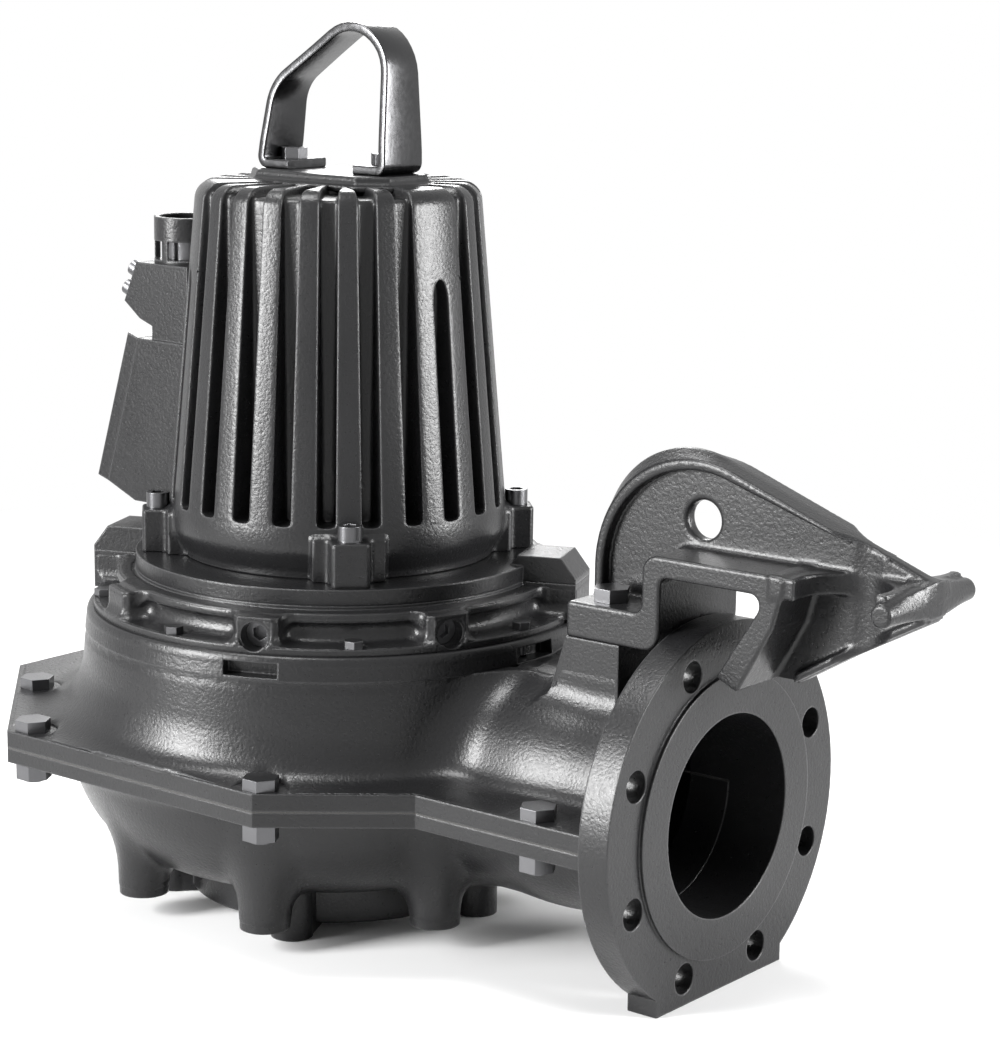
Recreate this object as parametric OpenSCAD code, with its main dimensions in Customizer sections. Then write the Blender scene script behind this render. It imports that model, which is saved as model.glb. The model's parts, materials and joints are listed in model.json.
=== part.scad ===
// Submersible sewage pump with a split volute casing, standing dry on its
// suction plate and on the foot of its discharge flange.
// Origin on the shaft axis at floor level, +Z up the shaft, +X towards the discharge.

/* [Casing] */
// Height of the casing's split plane and of the discharge axis above the floor
split_z = 131; // [128:1:140]
// Height of the undersides of the legs above the floor
leg_z = 18; // [14:1:22]
// Height of the upper casing's rim above the split plane
upper_h = 103; // [100:1:112]
// Depth of the lower casing's bowl below the split plane
bowl_h = 91; // [86:1:92]
// Outer radius of the casing drum where it meets the split flange
drum_r = 202; // [198:1:206]
// Outer radius of the casing rim
rim_r = 193; // [190:1:196]
// Reach of the spiral from the shaft axis at its tongue
spiral_r = 194; // [190:1:198]
// Growth of the spiral's reach over one full turn
spiral_gain = 84; // [76:1:88]
// Wall thickness of the casing
wall = 10; // [8:0.5:12]
// Radius of the opening in the upper casing that takes the oil housing
spigot_r = 158; // [154:1:160]
// Thickness of the upper split flange
upper_flange_t = 13; // [11:0.5:15]
// Thickness of the lower split flange
lower_flange_t = 11; // [9:0.5:13]
// Thickness of the gasket in the split plane
gasket_t = 1; // [0.8:0.1:1.2]
// Reach of the split flange towards the front
flange_front = 216; // [214:1:222]
// Reach of the split flange towards the rear
flange_rear = 284; // [282:1:290]
// Reach of the split flange to the left
flange_left = 293; // [290:1:300]
// Half width of the split flange along the discharge neck
neck_land = 141; // [138:1:146]
// Thread diameter of the casing bolts
casing_bolt_d = 16; // [14:1:18]

/* [Legs] */
// Number of threaded legs under the lower casing
leg_count = 8; // [6:1:8]
// Radius of the circle that the legs stand on
leg_ring_r = 166.7; // [164:0.1:168]
// Diameter of a leg
leg_d = 38; // [34:1:40]
// Diameter of the threaded hole in a leg
leg_hole_d = 14; // [12:0.5:16]
// Depth of the threaded hole in a leg
leg_hole_depth = 32; // [24:1:34]

/* [Discharge] */
// Bore of the discharge
bore_d = 150; // [146:1:152]
// Outer diameter of the discharge flange
flange_d = 285; // [280:1:290]
// Thickness of the discharge flange behind its raised face
flange_t = 25; // [22:1:28]
// Distance of the discharge flange's raised face from the shaft axis
flange_x = 373; // [368:1:380]
// Height of the raised face
raised_t = 3; // [2:0.5:4]
// Diameter of the raised face
raised_d = 211; // [205:1:215]
// Pitch circle diameter of the discharge flange's holes
flange_pcd = 240; // [238:1:242]
// Diameter of the discharge flange's holes
flange_hole_d = 23; // [20:0.5:24]
// Number of holes in the discharge flange
flange_holes = 8; // [8:4:12]
// Width of the flat foot at the bottom of the discharge flange
foot_w = 159; // [140:1:170]

/* [Suction plate] */
// Bore of the suction inlet
inlet_d = 150; // [144:1:152]
// Width of the flat ring round the inlet, level with the feet of the lugs
inlet_lip = 7; // [5:1:8]
// Radius of the suction plate's disc
suction_r = 116; // [114:1:120]
// Thickness of the suction plate's disc
suction_t = 16; // [14:1:18]
// Height of the suction plate's underside above the floor
suction_z = 6; // [5:1:10]
// Reach of the suction plate's lugs
suction_lug_r = 146; // [142:1:150]
// Number of suction plate lugs
suction_lugs = 5; // [4:1:6]

/* [Seal housing] */
// Height of the oil housing above the casing rim
oil_h = 30; // [28:1:36]
// Outer radius of the oil housing's drum
oil_drum_r = 168; // [164:1:172]
// Reach of the oil housing's radial bosses
oil_boss_r = 187; // [184:1:190]
// Number of radial bosses on the oil housing
oil_bosses = 8; // [6:1:8]
// Width of a radial boss
oil_boss_w = 34; // [30:1:38]
// Diameter of an oil screw's hole
oil_hole_d = 21; // [18:0.5:23]
// Thickness of the bearing housing's deck
deck_t = 12; // [10:1:14]
// Radius of the bearing housing's deck
deck_r = 158; // [156:1:162]
// Reach of the two tall lugs of the oil housing and of the bearing housing
tall_lug_r = 198; // [194:1:202]

/* [Motor housing] */
// Height of the motor housing from its deck to its crown
motor_h = 286; // [280:1:300]
// Radius of the smooth skirt at the foot of the motor housing
skirt_r = 122; // [120:1:124]
// Largest radius of the ribbed cone
cone_r = 131; // [129:1:133]
// Radius of the ribbed cone below its rounded crown edge
cone_top_r = 110; // [108:1:112]
// Number of grooves in the ribbed cone
groove_count = 24; // [18:3:24]
// Width of a groove
groove_w = 14; // [11:0.5:16]
// Radius of the grooves' floor
groove_floor_r = 104; // [102:0.5:105]
// Height of the smooth skirt below the grooves
skirt_h = 40; // [36:1:48]
// Radius of the motor's inner bore
motor_bore_r = 94; // [92:0.5:95]
// Reach of a fixing lug of the motor housing
lug_r = 152.5; // [150:0.5:155]
// Width of a fixing lug
lug_w = 28; // [26:1:32]
// Height of a fixing lug
lug_h = 33; // [30:1:38]
// Radius of the circle of the motor's fixing screws
motor_screw_ring_r = 140; // [139:0.5:141]
// Thread diameter of the motor's fixing screws
motor_screw_d = 12; // [10:1:14]

/* [Lifting bail] */
// Thickness of the bail's strap
bail_t = 7; // [5:0.5:9]
// Width of the strap at its feet
bail_foot_w = 44; // [40:1:50]
// Width of the strap at its crown
bail_crown_w = 34; // [30:1:40]
// Height of the bail above the motor's crown
bail_h = 113; // [100:1:130]

/* [Cable entry] */
// Half width of the cable entry's junction box
box_half_w = 35; // [32:1:38]
// Thickness of the junction box's cover
box_cover_t = 12; // [10:1:14]
// Distance of the cable gland's axis from the shaft axis
gland_x = 160; // [158:1:164]
// Outer radius of the gland nut
gland_r = 28; // [26:1:30]
// Radius of the cable opening
gland_bore_r = 13; // [11:0.5:15]

/* [Guide claw] */
// Half width of the claw's stepped foot, table and hook
claw_half_w = 50; // [46:1:54]
// Thickness of the claw's centre web
web_t = 12; // [10:1:14]
// Half width of the rim round the centre web
web_rim_half_w = 15; // [13:0.5:18]
// Thickness of the rim round the centre web
web_rim_t = 7.5; // [6:0.5:9]
// Radius of the rim's arc
web_arc_r = 87.5; // [84:0.5:90]
// Radius of the lifting hole in the web
lift_hole_r = 14; // [13:0.5:16]
// Radius of the notches that ride on the guide pipes
pipe_notch_r = 33; // [31:0.5:34]
// Half length of the claw's front cross bar
claw_bar_half = 57; // [54:0.5:62]
// Thread diameter of the claw's bolts
claw_bolt_d = 16; // [14:1:18]
// Drop of the claw's seat below the top of the discharge flange
claw_drop = 18.5; // [14:0.5:22]

/* [Rotor] */
// Radius of the shaft through the stator
shaft_r = 20; // [19:0.5:21]
// Radius of the impeller
impeller_r = 132; // [126:1:134]
// Width of the impeller's passage at its outlet
passage_h = 56; // [50:1:58]
// Number of impeller vanes
vane_count = 2; // [2:1:3]
// Thickness of an impeller vane
vane_t = 10; // [8:0.5:12]
// Thickness of the impeller's shrouds
shroud_t = 8; // [7:0.5:9]
// Radius of the rotor core
rotor_r = 56; // [54:0.5:57]
// Gap between the rotor core and the stator core
air_gap = 0.6; // [0.5:0.1:1]
// Height of the rotor core and the stator core
core_h = 140; // [130:1:146]
// Radius of the stator core
stator_r = 92; // [90:0.5:92.5]

/* [Hidden] */

// Running clearance between round faces of different bodies
gap = 0.3;
// Small overshoot of a cutter past the face that it cuts
eps = 1;
rim_z = split_z + upper_h;
base_flange_t = 5;
oil_top_z = rim_z + oil_h;
deck_z = oil_top_z + deck_t;
crown_z = deck_z + motor_h;
bowl_z = split_z - bowl_h;
flange_back_x = flange_x - raised_t - flange_t;
neck_r = bore_d / 2 + wall + 5;
hex_af = casing_bolt_d * 1.5;
hex_h = casing_bolt_d * 0.55;
tongue_a = -22;
neck_end_x = flange_back_x - 22;
claw_seat_z = split_z + flange_d / 2 - claw_drop;
claw_x0 = flange_x - 111;
bar_x = flange_x + 151;
pipe_x = flange_x + 111;
lid_z = split_z + 52;
opening_r = 112;
neck_ring_r = 86;
suction_a = -64;
suction_screw_r = suction_lug_r - 16;
suction_screw_d = 10;
lug_half_w = 16;
housing_screw_r = 183;
housing_screw_d = 8;
tall_angles = [22.5, 202.5];
tall_half_w = 22;
oil_screw_angles = [-67.5, -22.5];
oil_room_r = 126;
cover_spigot_r = 84;
seat_r = 30;
seal_bore_r = 24;
bearing_r = 50;
bearing_h = 40;
bearing_z = deck_z - 24;
bearing_shaft_r = 22.5;
lower_track_r = 36;
upper_bearing_r = 31;
upper_bearing_z = crown_z - 36;
upper_shaft_r = 12.5;
upper_track_r = 22;
shaft_end_z = split_z - 32;
shaft_seat_r = 15;
core_z = deck_z + 66;
stator_top_z = core_z + core_h;
seat_gap = 0.05;
o_ring_r = skirt_r - 12;
crown_t = 7;
crown_flat_r = 50;
bail_bolt_x = 46;
bail_bolt_d = 12;
short_groove = 7;
pad_z = crown_z - 66;
box_mid_z = deck_z + 83;
box_seat_x = 132;
gland_z = box_mid_z + 128;
gland_h = 37;
box_slant = 17.07;
box_face_h = 126;
stations = 72;
core_r = 140;
casing_black = [0.16, 0.16, 0.17];
steel = [0.62, 0.62, 0.64];

// A regular hexagonal prism given by its width across flats
module hex(af, h) {
    cylinder(d = af / cos(30), h = h, $fn = 6);
}

// Copies of a child on a ring of equal angles that starts at a given angle
module ring(count, first = 0) {
    for (i = [0:count - 1])
        rotate([0, 0, first + i * 360 / count]) children();
}

// Points on an arc
function arc(cx, cy, r, a0, a1, n) =
    [for (i = [0:n]) let (a = a0 + (a1 - a0) * i / n) [cx + r * cos(a), cy + r * sin(a)]];

// Points of a corner at b between a and c, rounded with radius r
function rounded(a, b, c, r, n = 6) =
    let (
        u = (a - b) / norm(a - b),
        v = (c - b) / norm(c - b),
        half = acos(u * v) / 2,
        middle = b + (u + v) / norm(u + v) * r / sin(half),
        start = b + u * r / tan(half) - middle,
        end = b + v * r / tan(half) - middle,
        a0 = atan2(start[1], start[0]),
        raw = atan2(end[1], end[0]) - a0,
        turn = raw > 180 ? raw - 360 : raw < -180 ? raw + 360 : raw
    )
    [for (i = [0:n]) middle + r * [cos(a0 + turn * i / n), sin(a0 + turn * i / n)]];

// A path whose inner corners are rounded with the radii given
function rounded_path(p, radii) =
    [p[0],
     for (i = [1:len(p) - 2]) each rounded(p[i - 1], p[i], p[i + 1], radii[i - 1]),
     p[len(p) - 1]];

// A strip of constant thickness on one side of a path, as a closed outline
function strip(p, t) =
    let (
        n = len(p),
        sides = [for (i = [0:n - 1])
            let (d = p[min(i + 1, n - 1)] - p[max(i - 1, 0)]) [-d[1], d[0]] / norm(d)]
    )
    concat(p, [for (i = [n - 1:-1:0]) p[i] + sides[i] * t]);

// How far the spiral has turned from its tongue, clockwise seen from above
function turned(a) = ((tongue_a - a) % 360 + 360) % 360;
// Reach of the spiral from the shaft axis at an angle; the last sixth is inside the neck
function reach(a) =
    let (t = turned(a)) spiral_r + (t < 300 ? spiral_gain * t / 360 : 0);
// Height of the spiral's roof above the split plane at an angle
function roof(a) = let (t = turned(a)) 46 + (t < 300 ? 42 * t / 360 : 0);

// A closed ring lofted through one outline of radius and height at each angle
module lofted_ring(outlines) {
    n = len(outlines);
    m = len(outlines[0]);
    points = [for (i = [0:n - 1]) for (q = outlines[i])
        [q[0] * cos(i * 360 / n), q[0] * sin(i * 360 / n), q[1]]];
    faces = [for (i = [0:n - 1]) for (j = [0:m - 1])
        let (i2 = (i + 1) % n, j2 = (j + 1) % m)
        each [[i * m + j, i * m + j2, i2 * m + j2], [i * m + j, i2 * m + j2, i2 * m + j]]];
    polyhedron(points, faces);
}

// Radius of the casing drum at a height above the split plane
function drum(z) = drum_r - max(0, z - upper_flange_t - 10) * (drum_r - rim_r - 3.6) / (upper_h - upper_flange_t - 18);
// Radius of the spiral's swelling at an angle and a height above the split plane
function swelling(a, z) =
    let (h = roof(a)) z < h ? core_r + (reach(a) - core_r) * sqrt(1 - z * z / h / h) : 0;

// Outside of the drum and of the spiral above the split plane
module upper_body() {
    top = upper_h - 14;
    lofted_ring([for (i = [0:stations - 1]) let (a = i * 360 / stations)
        concat([[core_r, split_z]],
            [for (j = [0:14]) let (z = top * j / 14) [max(drum(z), swelling(a, z)), split_z + z]],
            [[core_r, split_z + top]])]);
}

// The spiral's waterway above the split plane, smaller all over by a wall
module spiral_top(inset) {
    lofted_ring([for (i = [0:stations - 1])
        let (a = i * 360 / stations, w = reach(a) - inset - core_r, h = min(roof(a) - inset, lid_z - split_z - 2))
        concat([[core_r, split_z], [core_r + w, split_z]],
            [for (t = [15:15:90]) [core_r + w * cos(t), split_z + h * sin(t)]])]);
}

// The bowl's swelling below the split plane, smaller all over by a wall
module spiral_bottom(inset) {
    lofted_ring([for (i = [0:stations - 1])
        let (a = i * 360 / stations, w = reach(a) - 9 - inset - core_r, h = bowl_h - inset)
        concat([[core_r, split_z]],
            [for (t = [90:-15:15]) [core_r + w * cos(t), split_z - h * sin(t)]],
            [[core_r + w, split_z]])]);
}

// The throat that leads from the end of the spiral into the discharge neck
module throat(inset) {
    r = neck_r - inset;
    hull() {
        translate([250, 0, split_z]) rotate([0, 90, 0]) cylinder(r = r - 1, h = 40, $fn = 32);
        translate([105, 118, split_z]) sphere(r = r - 2, $fn = 32);
        translate([150, 40, split_z]) sphere(r = r - 12, $fn = 32);
    }
}

// Outline of the split flange seen from above
function flange_outline() =
    let (bevel = flange_left - 148)
    [[-flange_left, bevel - flange_front], [-148, -flange_front], [109, -flange_front],
     [109 + (flange_front - neck_land) * 1.2, -neck_land], [flange_back_x, -neck_land],
     [flange_back_x, neck_land], [264, neck_land], [124, flange_rear],
     [-130, flange_rear], [-flange_left, flange_rear - (flange_left - 130)]];

// Places of the casing bolts
bolt_land = 15;
bolt_places = [
    [-229, bolt_land - flange_front + 91], [-135, bolt_land - flange_front], [104, bolt_land - flange_front],
    [298, bolt_land - neck_land], [298, neck_land - bolt_land],
    [196, (neck_land + flange_rear) / 2 - 28], [98, flange_rear - bolt_land],
    [-124, flange_rear - bolt_land], [-228, flange_rear - 86], [bolt_land - flange_left, 30]];

module at_bolts(z) {
    for (p = bolt_places)
        translate([p[0], p[1], z]) children();
}

// Inside of the casing seen from above, at the split plane
module waterway_outline() {
    polygon([for (i = [0:stations - 1])
        let (a = i * 360 / stations) (reach(a) - wall) * [cos(a), sin(a)]]);
    translate([0, -bore_d / 2]) square([neck_end_x + eps, bore_d]);
    hull() {
        translate([105, 118]) circle(r = bore_d / 2 - 2, $fn = 32);
        translate([250, -bore_d / 2]) square([12, bore_d]);
    }
}

// Plate of the split flange with its bolt holes, between two heights
module split_plate(z, t) {
    difference() {
        translate([0, 0, z]) linear_extrude(t) polygon(flange_outline());
        at_bolts(z - eps) cylinder(d = casing_bolt_d + 1, h = t + 2 * eps, $fn = 32);
    }
}

// Discharge flange with its raised face, flat foot and neck cone, about the discharge axis
module discharge_flange() {
    difference() {
        union() {
            translate([flange_back_x, 0, split_z]) rotate([0, 90, 0]) {
                cylinder(d = flange_d, h = flange_t, $fn = 120);
                cylinder(d = raised_d, h = flange_t + raised_t, $fn = 96);
            }
            translate([neck_end_x, 0, split_z]) rotate([0, 90, 0])
                cylinder(r1 = neck_r, r2 = neck_r + 15, h = flange_back_x - neck_end_x + eps, $fn = 96);
            translate([flange_back_x, -foot_w / 2, 0]) cube([flange_t, foot_w, split_z / 3]);
        }
        translate([flange_back_x - eps, 0, split_z]) rotate([0, 90, 0])
            ring(flange_holes, 180 / flange_holes)
                translate([flange_pcd / 2, 0, 0])
                    cylinder(d = flange_hole_d, h = flange_t + 2 * eps, $fn = 48);
        translate([flange_back_x - eps, -flange_d, -flange_d]) cube([flange_t + 2 * eps, 2 * flange_d, flange_d]);
    }
}

module upper_casing() color(casing_black) {
    difference() {
        union() {
            rotate_extrude($fn = 120)
                polygon(concat([[0, split_z], [core_r + 1, split_z], [core_r + 1, rim_z - 18],
                    [drum(upper_h - 18) + 0.5, rim_z - 18]],
                    [for (t = [0:15:90]) [rim_r + 3.6 * cos(t), rim_z - 8 + 8 * sin(t)]], [[0, rim_z]]));
            upper_body();
            intersection() {
                throat(0);
                translate([-400, -400, split_z]) cube([400 + neck_end_x, 800, upper_h - 1]);
            }
            intersection() {
                translate([200, 0, split_z]) rotate([0, 90, 0])
                    cylinder(r = neck_r, h = neck_end_x - 200 + eps, $fn = 96);
                translate([200, -200, split_z]) cube([400, 400, 200]);
            }
            split_plate(split_z, upper_flange_t);
            discharge_flange();
            claw_block();
        }
        intersection() {
            union() {
                spiral_top(wall);
                difference() {
                    throat(neck_r - bore_d / 2);
                    translate([0, 0, lid_z - 3]) cylinder(r = spigot_r + 7, h = 100, $fn = 96);
                }
            }
            translate([-400, -400, split_z - eps]) cube([800, 800, upper_h + eps - 12]);
        }
        translate([0, 0, split_z - eps]) cylinder(r = core_r + 0.5, h = lid_z - split_z + 2 * eps, $fn = 96);
        translate([0, 0, lid_z]) cylinder(r = spigot_r, h = upper_h, $fn = 120);
        translate([240, 0, split_z]) rotate([0, 90, 0]) cylinder(d = bore_d, h = flange_x, $fn = 96);
        at_bolts(split_z) cylinder(d = casing_bolt_d + 1, h = 30, $fn = 32);
        at_bolts(split_z + upper_flange_t) cylinder(r = hex_af / 2 + 4, h = 60, $fn = 32);
        ring(8, 0) translate([housing_screw_r, 0, rim_z - 20])
            cylinder(d = housing_screw_d, h = 21, $fn = 24);
        claw_bolt_holes(claw_bolt_d, claw_seat_z - 36, 40);
        for (a = [-67.5, 0])
            rotate([0, 0, a]) translate([rim_r - 8, -21, rim_z - 16]) cube([30, 42, 11]);
    }
}

// Block on the neck that carries the guide claw
module claw_block() {
    translate([0, claw_half_w, 0]) rotate([90, 0, 0]) linear_extrude(2 * claw_half_w)
        polygon([[claw_x0 - 17, split_z + 70], [claw_x0 + 47, split_z + 70],
            [claw_x0 + 47, claw_seat_z], [claw_x0, claw_seat_z]]);
}

module claw_bolt_holes(d, z, h) {
    for (y = [-28, 28])
        translate([claw_x0 + 24, y, z]) cylinder(d = d, h = h, $fn = 32);
}

module lower_casing() color(casing_black) {
    top = split_z - gasket_t;
    difference() {
        union() {
            intersection() {
                union() {
                    spiral_bottom(0);
                    throat(0);
                    translate([0, 0, bowl_z]) cylinder(r = core_r + 2, h = bowl_h, $fn = 96);
                    translate([200, 0, split_z]) rotate([0, 90, 0])
                        cylinder(r = neck_r, h = neck_end_x - 200, $fn = 96);
                }
                translate([-400, -400, bowl_z]) cube([400 + neck_end_x, 800, top - bowl_z]);
            }
            split_plate(top - lower_flange_t, lower_flange_t);
            ring(leg_count, 180 / leg_count) translate([leg_ring_r, 0, leg_z])
                cylinder(d1 = leg_d, d2 = leg_d + 4, h = split_z - gasket_t - 50 - leg_z, $fn = 48);
        }
        intersection() {
            union() {
                spiral_bottom(wall);
                throat(neck_r - bore_d / 2);
                translate([0, 0, bowl_z + wall]) cylinder(r = core_r + 0.5, h = bowl_h, $fn = 96);
            }
            translate([-400, -400, bowl_z + wall]) cube([800, 800, bowl_h]);
        }
        translate([0, 0, bowl_z - eps]) cylinder(r = opening_r, h = wall + 2 * eps, $fn = 96);
        translate([240, 0, split_z]) rotate([0, 90, 0]) cylinder(d = bore_d, h = flange_x, $fn = 96);
        translate([neck_end_x, 0, split_z]) rotate([0, 90, 0])
            cylinder(r = neck_r + 16, h = 100, $fn = 96);
        at_bolts(top - lower_flange_t - 40) cylinder(r = hex_af / 2 + 4, h = 40, $fn = 32);
        ring(leg_count, 180 / leg_count) translate([leg_ring_r, 0, leg_z - eps])
            cylinder(d = leg_hole_d, h = leg_hole_depth + eps, $fn = 32);
        ring(suction_lugs, suction_a) translate([suction_screw_r, 0, bowl_z - eps])
            cylinder(d = suction_screw_d, h = wall - 1, $fn = 24);
    }
}

module casing_gasket() color([0.55, 0.5, 0.42]) {
    difference() {
        split_plate(split_z - gasket_t, gasket_t);
        translate([0, 0, split_z - gasket_t - eps]) linear_extrude(gasket_t + 2 * eps) waterway_outline();
        translate([neck_end_x, 0, split_z]) rotate([0, 90, 0])
            cylinder(r = neck_r + 16, h = 100, $fn = 96);
    }
}

module casing_bolts() color(steel) {
    length = upper_flange_t + gasket_t + lower_flange_t + casing_bolt_d * 0.8 + 2;
    at_bolts(split_z + upper_flange_t) {
        hex(hex_af, hex_h);
        translate([0, 0, -length]) cylinder(d = casing_bolt_d, h = length + eps, $fn = 32);
    }
}

module casing_nuts() color(steel) {
    h = casing_bolt_d * 0.8;
    at_bolts(split_z - gasket_t - lower_flange_t - h)
        difference() {
            hex(hex_af, h);
            translate([0, 0, -eps]) cylinder(d = casing_bolt_d, h = h + 2 * eps, $fn = 32);
        }
}

module suction_plate() color(casing_black) {
    difference() {
        union() {
            translate([0, 0, suction_z]) cylinder(r = suction_r, h = bowl_z - suction_z, $fn = 96);
            translate([0, 0, bowl_z - 2]) cylinder(r = opening_r - gap, h = 14, $fn = 96);
            cylinder(d = inlet_d + 2 * inlet_lip, h = suction_z + eps, $fn = 96);
            ring(suction_lugs, suction_a) {
                translate([suction_screw_r, 0, 0]) cylinder(r = lug_half_w, h = bowl_z - 3, $fn = 48);
                translate([suction_r - 30, 1 - lug_half_w, 0])
                    cube([suction_screw_r - suction_r + 30, 2 * lug_half_w - 2, bowl_z - 3]);
            }
        }
        translate([0, 0, -eps]) cylinder(d = inlet_d, h = 100, $fn = 96);
        translate([0, 0, bowl_z + 4]) cylinder(r = neck_ring_r + 0.4, h = 20, $fn = 96);
        ring(suction_lugs, suction_a) translate([suction_screw_r, 0, -eps]) {
            cylinder(d = suction_screw_d + 1, h = bowl_z + 2 * eps, $fn = 24);
            cylinder(r = 11, h = 13 + eps, $fn = 32);
        }
    }
}

module suction_screws() color(steel) {
    ring(suction_lugs, suction_a) translate([suction_screw_r, 0, 0]) {
        translate([0, 0, 13 - 7]) hex(suction_screw_d * 1.6, 7);
        translate([0, 0, 12]) cylinder(d = suction_screw_d, h = bowl_z + wall - 2.5 - 12, $fn = 24);
    }
}

module oil_housing() color(casing_black) {
    difference() {
        union() {
            translate([0, 0, lid_z]) cylinder(r = spigot_r - gap, h = upper_h + split_z - lid_z, $fn = 120);
            translate([0, 0, rim_z]) cylinder(r = rim_r - 2, h = base_flange_t, $fn = 120);
            translate([0, 0, rim_z]) cylinder(r = oil_drum_r, h = oil_h - 4, $fn = 96);
            translate([0, 0, oil_top_z - 9]) cylinder(r = oil_drum_r + 4, h = 6, $fn = 96);
            translate([0, 0, rim_z]) cylinder(r = deck_r, h = oil_h, $fn = 96);
            ring(oil_bosses, 180 / oil_bosses) oil_boss();
            for (a = tall_angles) rotate([0, 0, a])
                translate([oil_drum_r - 30, -tall_half_w, rim_z])
                    cube([tall_lug_r - oil_drum_r + 30, 2 * tall_half_w, oil_h]);
        }
        translate([0, 0, lid_z + wall]) cylinder(r = oil_room_r, h = oil_top_z - lid_z, $fn = 96);
        translate([0, 0, lid_z - eps]) cylinder(r = cover_spigot_r + gap, h = wall + 2 * eps, $fn = 96);
        for (a = oil_screw_angles) rotate([0, 0, a]) translate([oil_room_r - 10, 0, rim_z + oil_h / 2 - 3])
            rotate([0, 90, 0]) cylinder(d = oil_hole_d, h = 80, $fn = 32);
        ring(8, 0) translate([housing_screw_r, 0, rim_z - eps])
            cylinder(d = housing_screw_d + 1, h = base_flange_t + 2 * eps, $fn = 24);
        ring(4, 45) translate([motor_screw_ring_r, 0, oil_top_z - 26])
            cylinder(d = motor_screw_d, h = 27, $fn = 24);
        ring(6, 15) translate([cover_spigot_r + 9, 0, lid_z - eps])
            cylinder(d = 6, h = wall - 2, $fn = 24);
    }
}

// A radial boss of the oil housing, narrowing a little outwards
module oil_boss() {
    w = oil_boss_w / 2;
    translate([0, 0, rim_z]) linear_extrude(oil_h - 4)
        polygon([[oil_drum_r - 20, -w - 3], [oil_boss_r - 4, -w], [oil_boss_r, -w + 4],
            [oil_boss_r, w - 4], [oil_boss_r - 4, w], [oil_drum_r - 20, w + 3]]);
}

module oil_cover() color(casing_black) {
    difference() {
        union() {
            translate([0, 0, lid_z - 9]) cylinder(r = cover_spigot_r + 18, h = 9, $fn = 96);
            translate([0, 0, lid_z]) cylinder(r = cover_spigot_r, h = wall, $fn = 96);
        }
        translate([0, 0, lid_z + wall - 14]) cylinder(r = seat_r, h = 30, $fn = 64);
        translate([0, 0, lid_z - 20]) cylinder(r = seal_bore_r, h = 60, $fn = 64);
        translate([0, 0, lid_z + 4]) difference() {
            cylinder(r = cover_spigot_r - 8, h = 20, $fn = 96);
            translate([0, 0, -eps]) cylinder(r = seat_r + 7, h = 30, $fn = 64);
        }
        ring(6, 15) translate([cover_spigot_r + 9, 0, lid_z - 20])
            cylinder(d = 7, h = 30, $fn = 24);
    }
}

module lid_screws() color(steel) {
    ring(6, 15) translate([cover_spigot_r + 9, 0, lid_z - 9]) {
        translate([0, 0, -3]) cylinder(d = 10, h = 3, $fn = 32);
        cylinder(d = 6, h = wall + 5, $fn = 24);
    }
}

module oil_screws() color(steel) {
    for (a = oil_screw_angles) rotate([0, 0, a])
        translate([oil_boss_r - 26, 0, rim_z + oil_h / 2 - 3]) rotate([0, 90, 0])
            difference() {
                cylinder(d = oil_hole_d - 0.2, h = 14, $fn = 32);
                translate([0, 0, 8]) hex(10, 10);
            }
}

module housing_screws() color(steel) {
    ring(8, 0) translate([housing_screw_r, 0, rim_z + base_flange_t]) {
        hex(housing_screw_d * 1.6, housing_screw_d * 0.7);
        translate([0, 0, -20]) cylinder(d = housing_screw_d, h = 21, $fn = 24);
    }
}

module bearing_housing() color(casing_black) {
    difference() {
        union() {
            translate([0, 0, oil_top_z]) cylinder(r = deck_r, h = deck_t, $fn = 96);
            ring(4, 45) translate([motor_screw_ring_r, 0, oil_top_z + 1])
                cylinder(d = 2 * motor_screw_d + 4, h = deck_t - 2, $fn = 48);
            translate([0, 0, bearing_z - 14]) cylinder(r = bearing_r + 10, h = bearing_h + 18, $fn = 96);
            for (a = tall_angles) rotate([0, 0, a])
                translate([0, tall_half_w, 0]) rotate([90, 0, 0]) linear_extrude(2 * tall_half_w)
                    polygon([[deck_r - 20, oil_top_z], [tall_lug_r, oil_top_z],
                        [tall_lug_r, oil_top_z + 4], [tall_lug_r - 12, oil_top_z + deck_t + 8],
                        [deck_r - 6, oil_top_z + deck_t + 8], [deck_r - 12, oil_top_z + deck_t]]);
        }
        translate([0, 0, bearing_z]) cylinder(r = bearing_r, h = 60, $fn = 64);
        translate([0, 0, bearing_z - 14 - eps]) cylinder(r = seat_r, h = 11 + eps, $fn = 64);
        translate([0, 0, deck_z - 3]) difference() {
            cylinder(r = o_ring_r + 2, h = 4, $fn = 64);
            translate([0, 0, -eps]) cylinder(r = o_ring_r - 2, h = 8, $fn = 64);
        }
        translate([0, 0, bearing_z - 20]) cylinder(r = seal_bore_r, h = 60, $fn = 64);
        ring(4, 45) translate([motor_screw_ring_r, 0, oil_top_z - eps])
            cylinder(d = motor_screw_d + 1, h = deck_t + 2 * eps, $fn = 24);
        ring(4, 0) translate([bearing_r + 5, 0, bearing_z + bearing_h - 8])
            cylinder(d = 5, h = 30, $fn = 24);
    }
}

module bearing_retainer() color(steel) {
    z = bearing_z + bearing_h + 4;
    difference() {
        translate([0, 0, z]) cylinder(r = bearing_r + 9, h = 4, $fn = 64);
        translate([0, 0, z - eps]) cylinder(r = bearing_r - 8, h = 10, $fn = 64);
    }
    difference() {
        translate([0, 0, bearing_z + bearing_h]) cylinder(r = bearing_r - seat_gap, h = 5, $fn = 64);
        translate([0, 0, bearing_z]) cylinder(r = bearing_r - 8, h = 60, $fn = 64);
    }
    ring(4, 0) translate([bearing_r + 5, 0, z - 12]) {
        cylinder(d = 5, h = 13, $fn = 24);
        translate([0, 0, 15]) cylinder(d = 7, h = 4, $fn = 24);
    }
}

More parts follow.
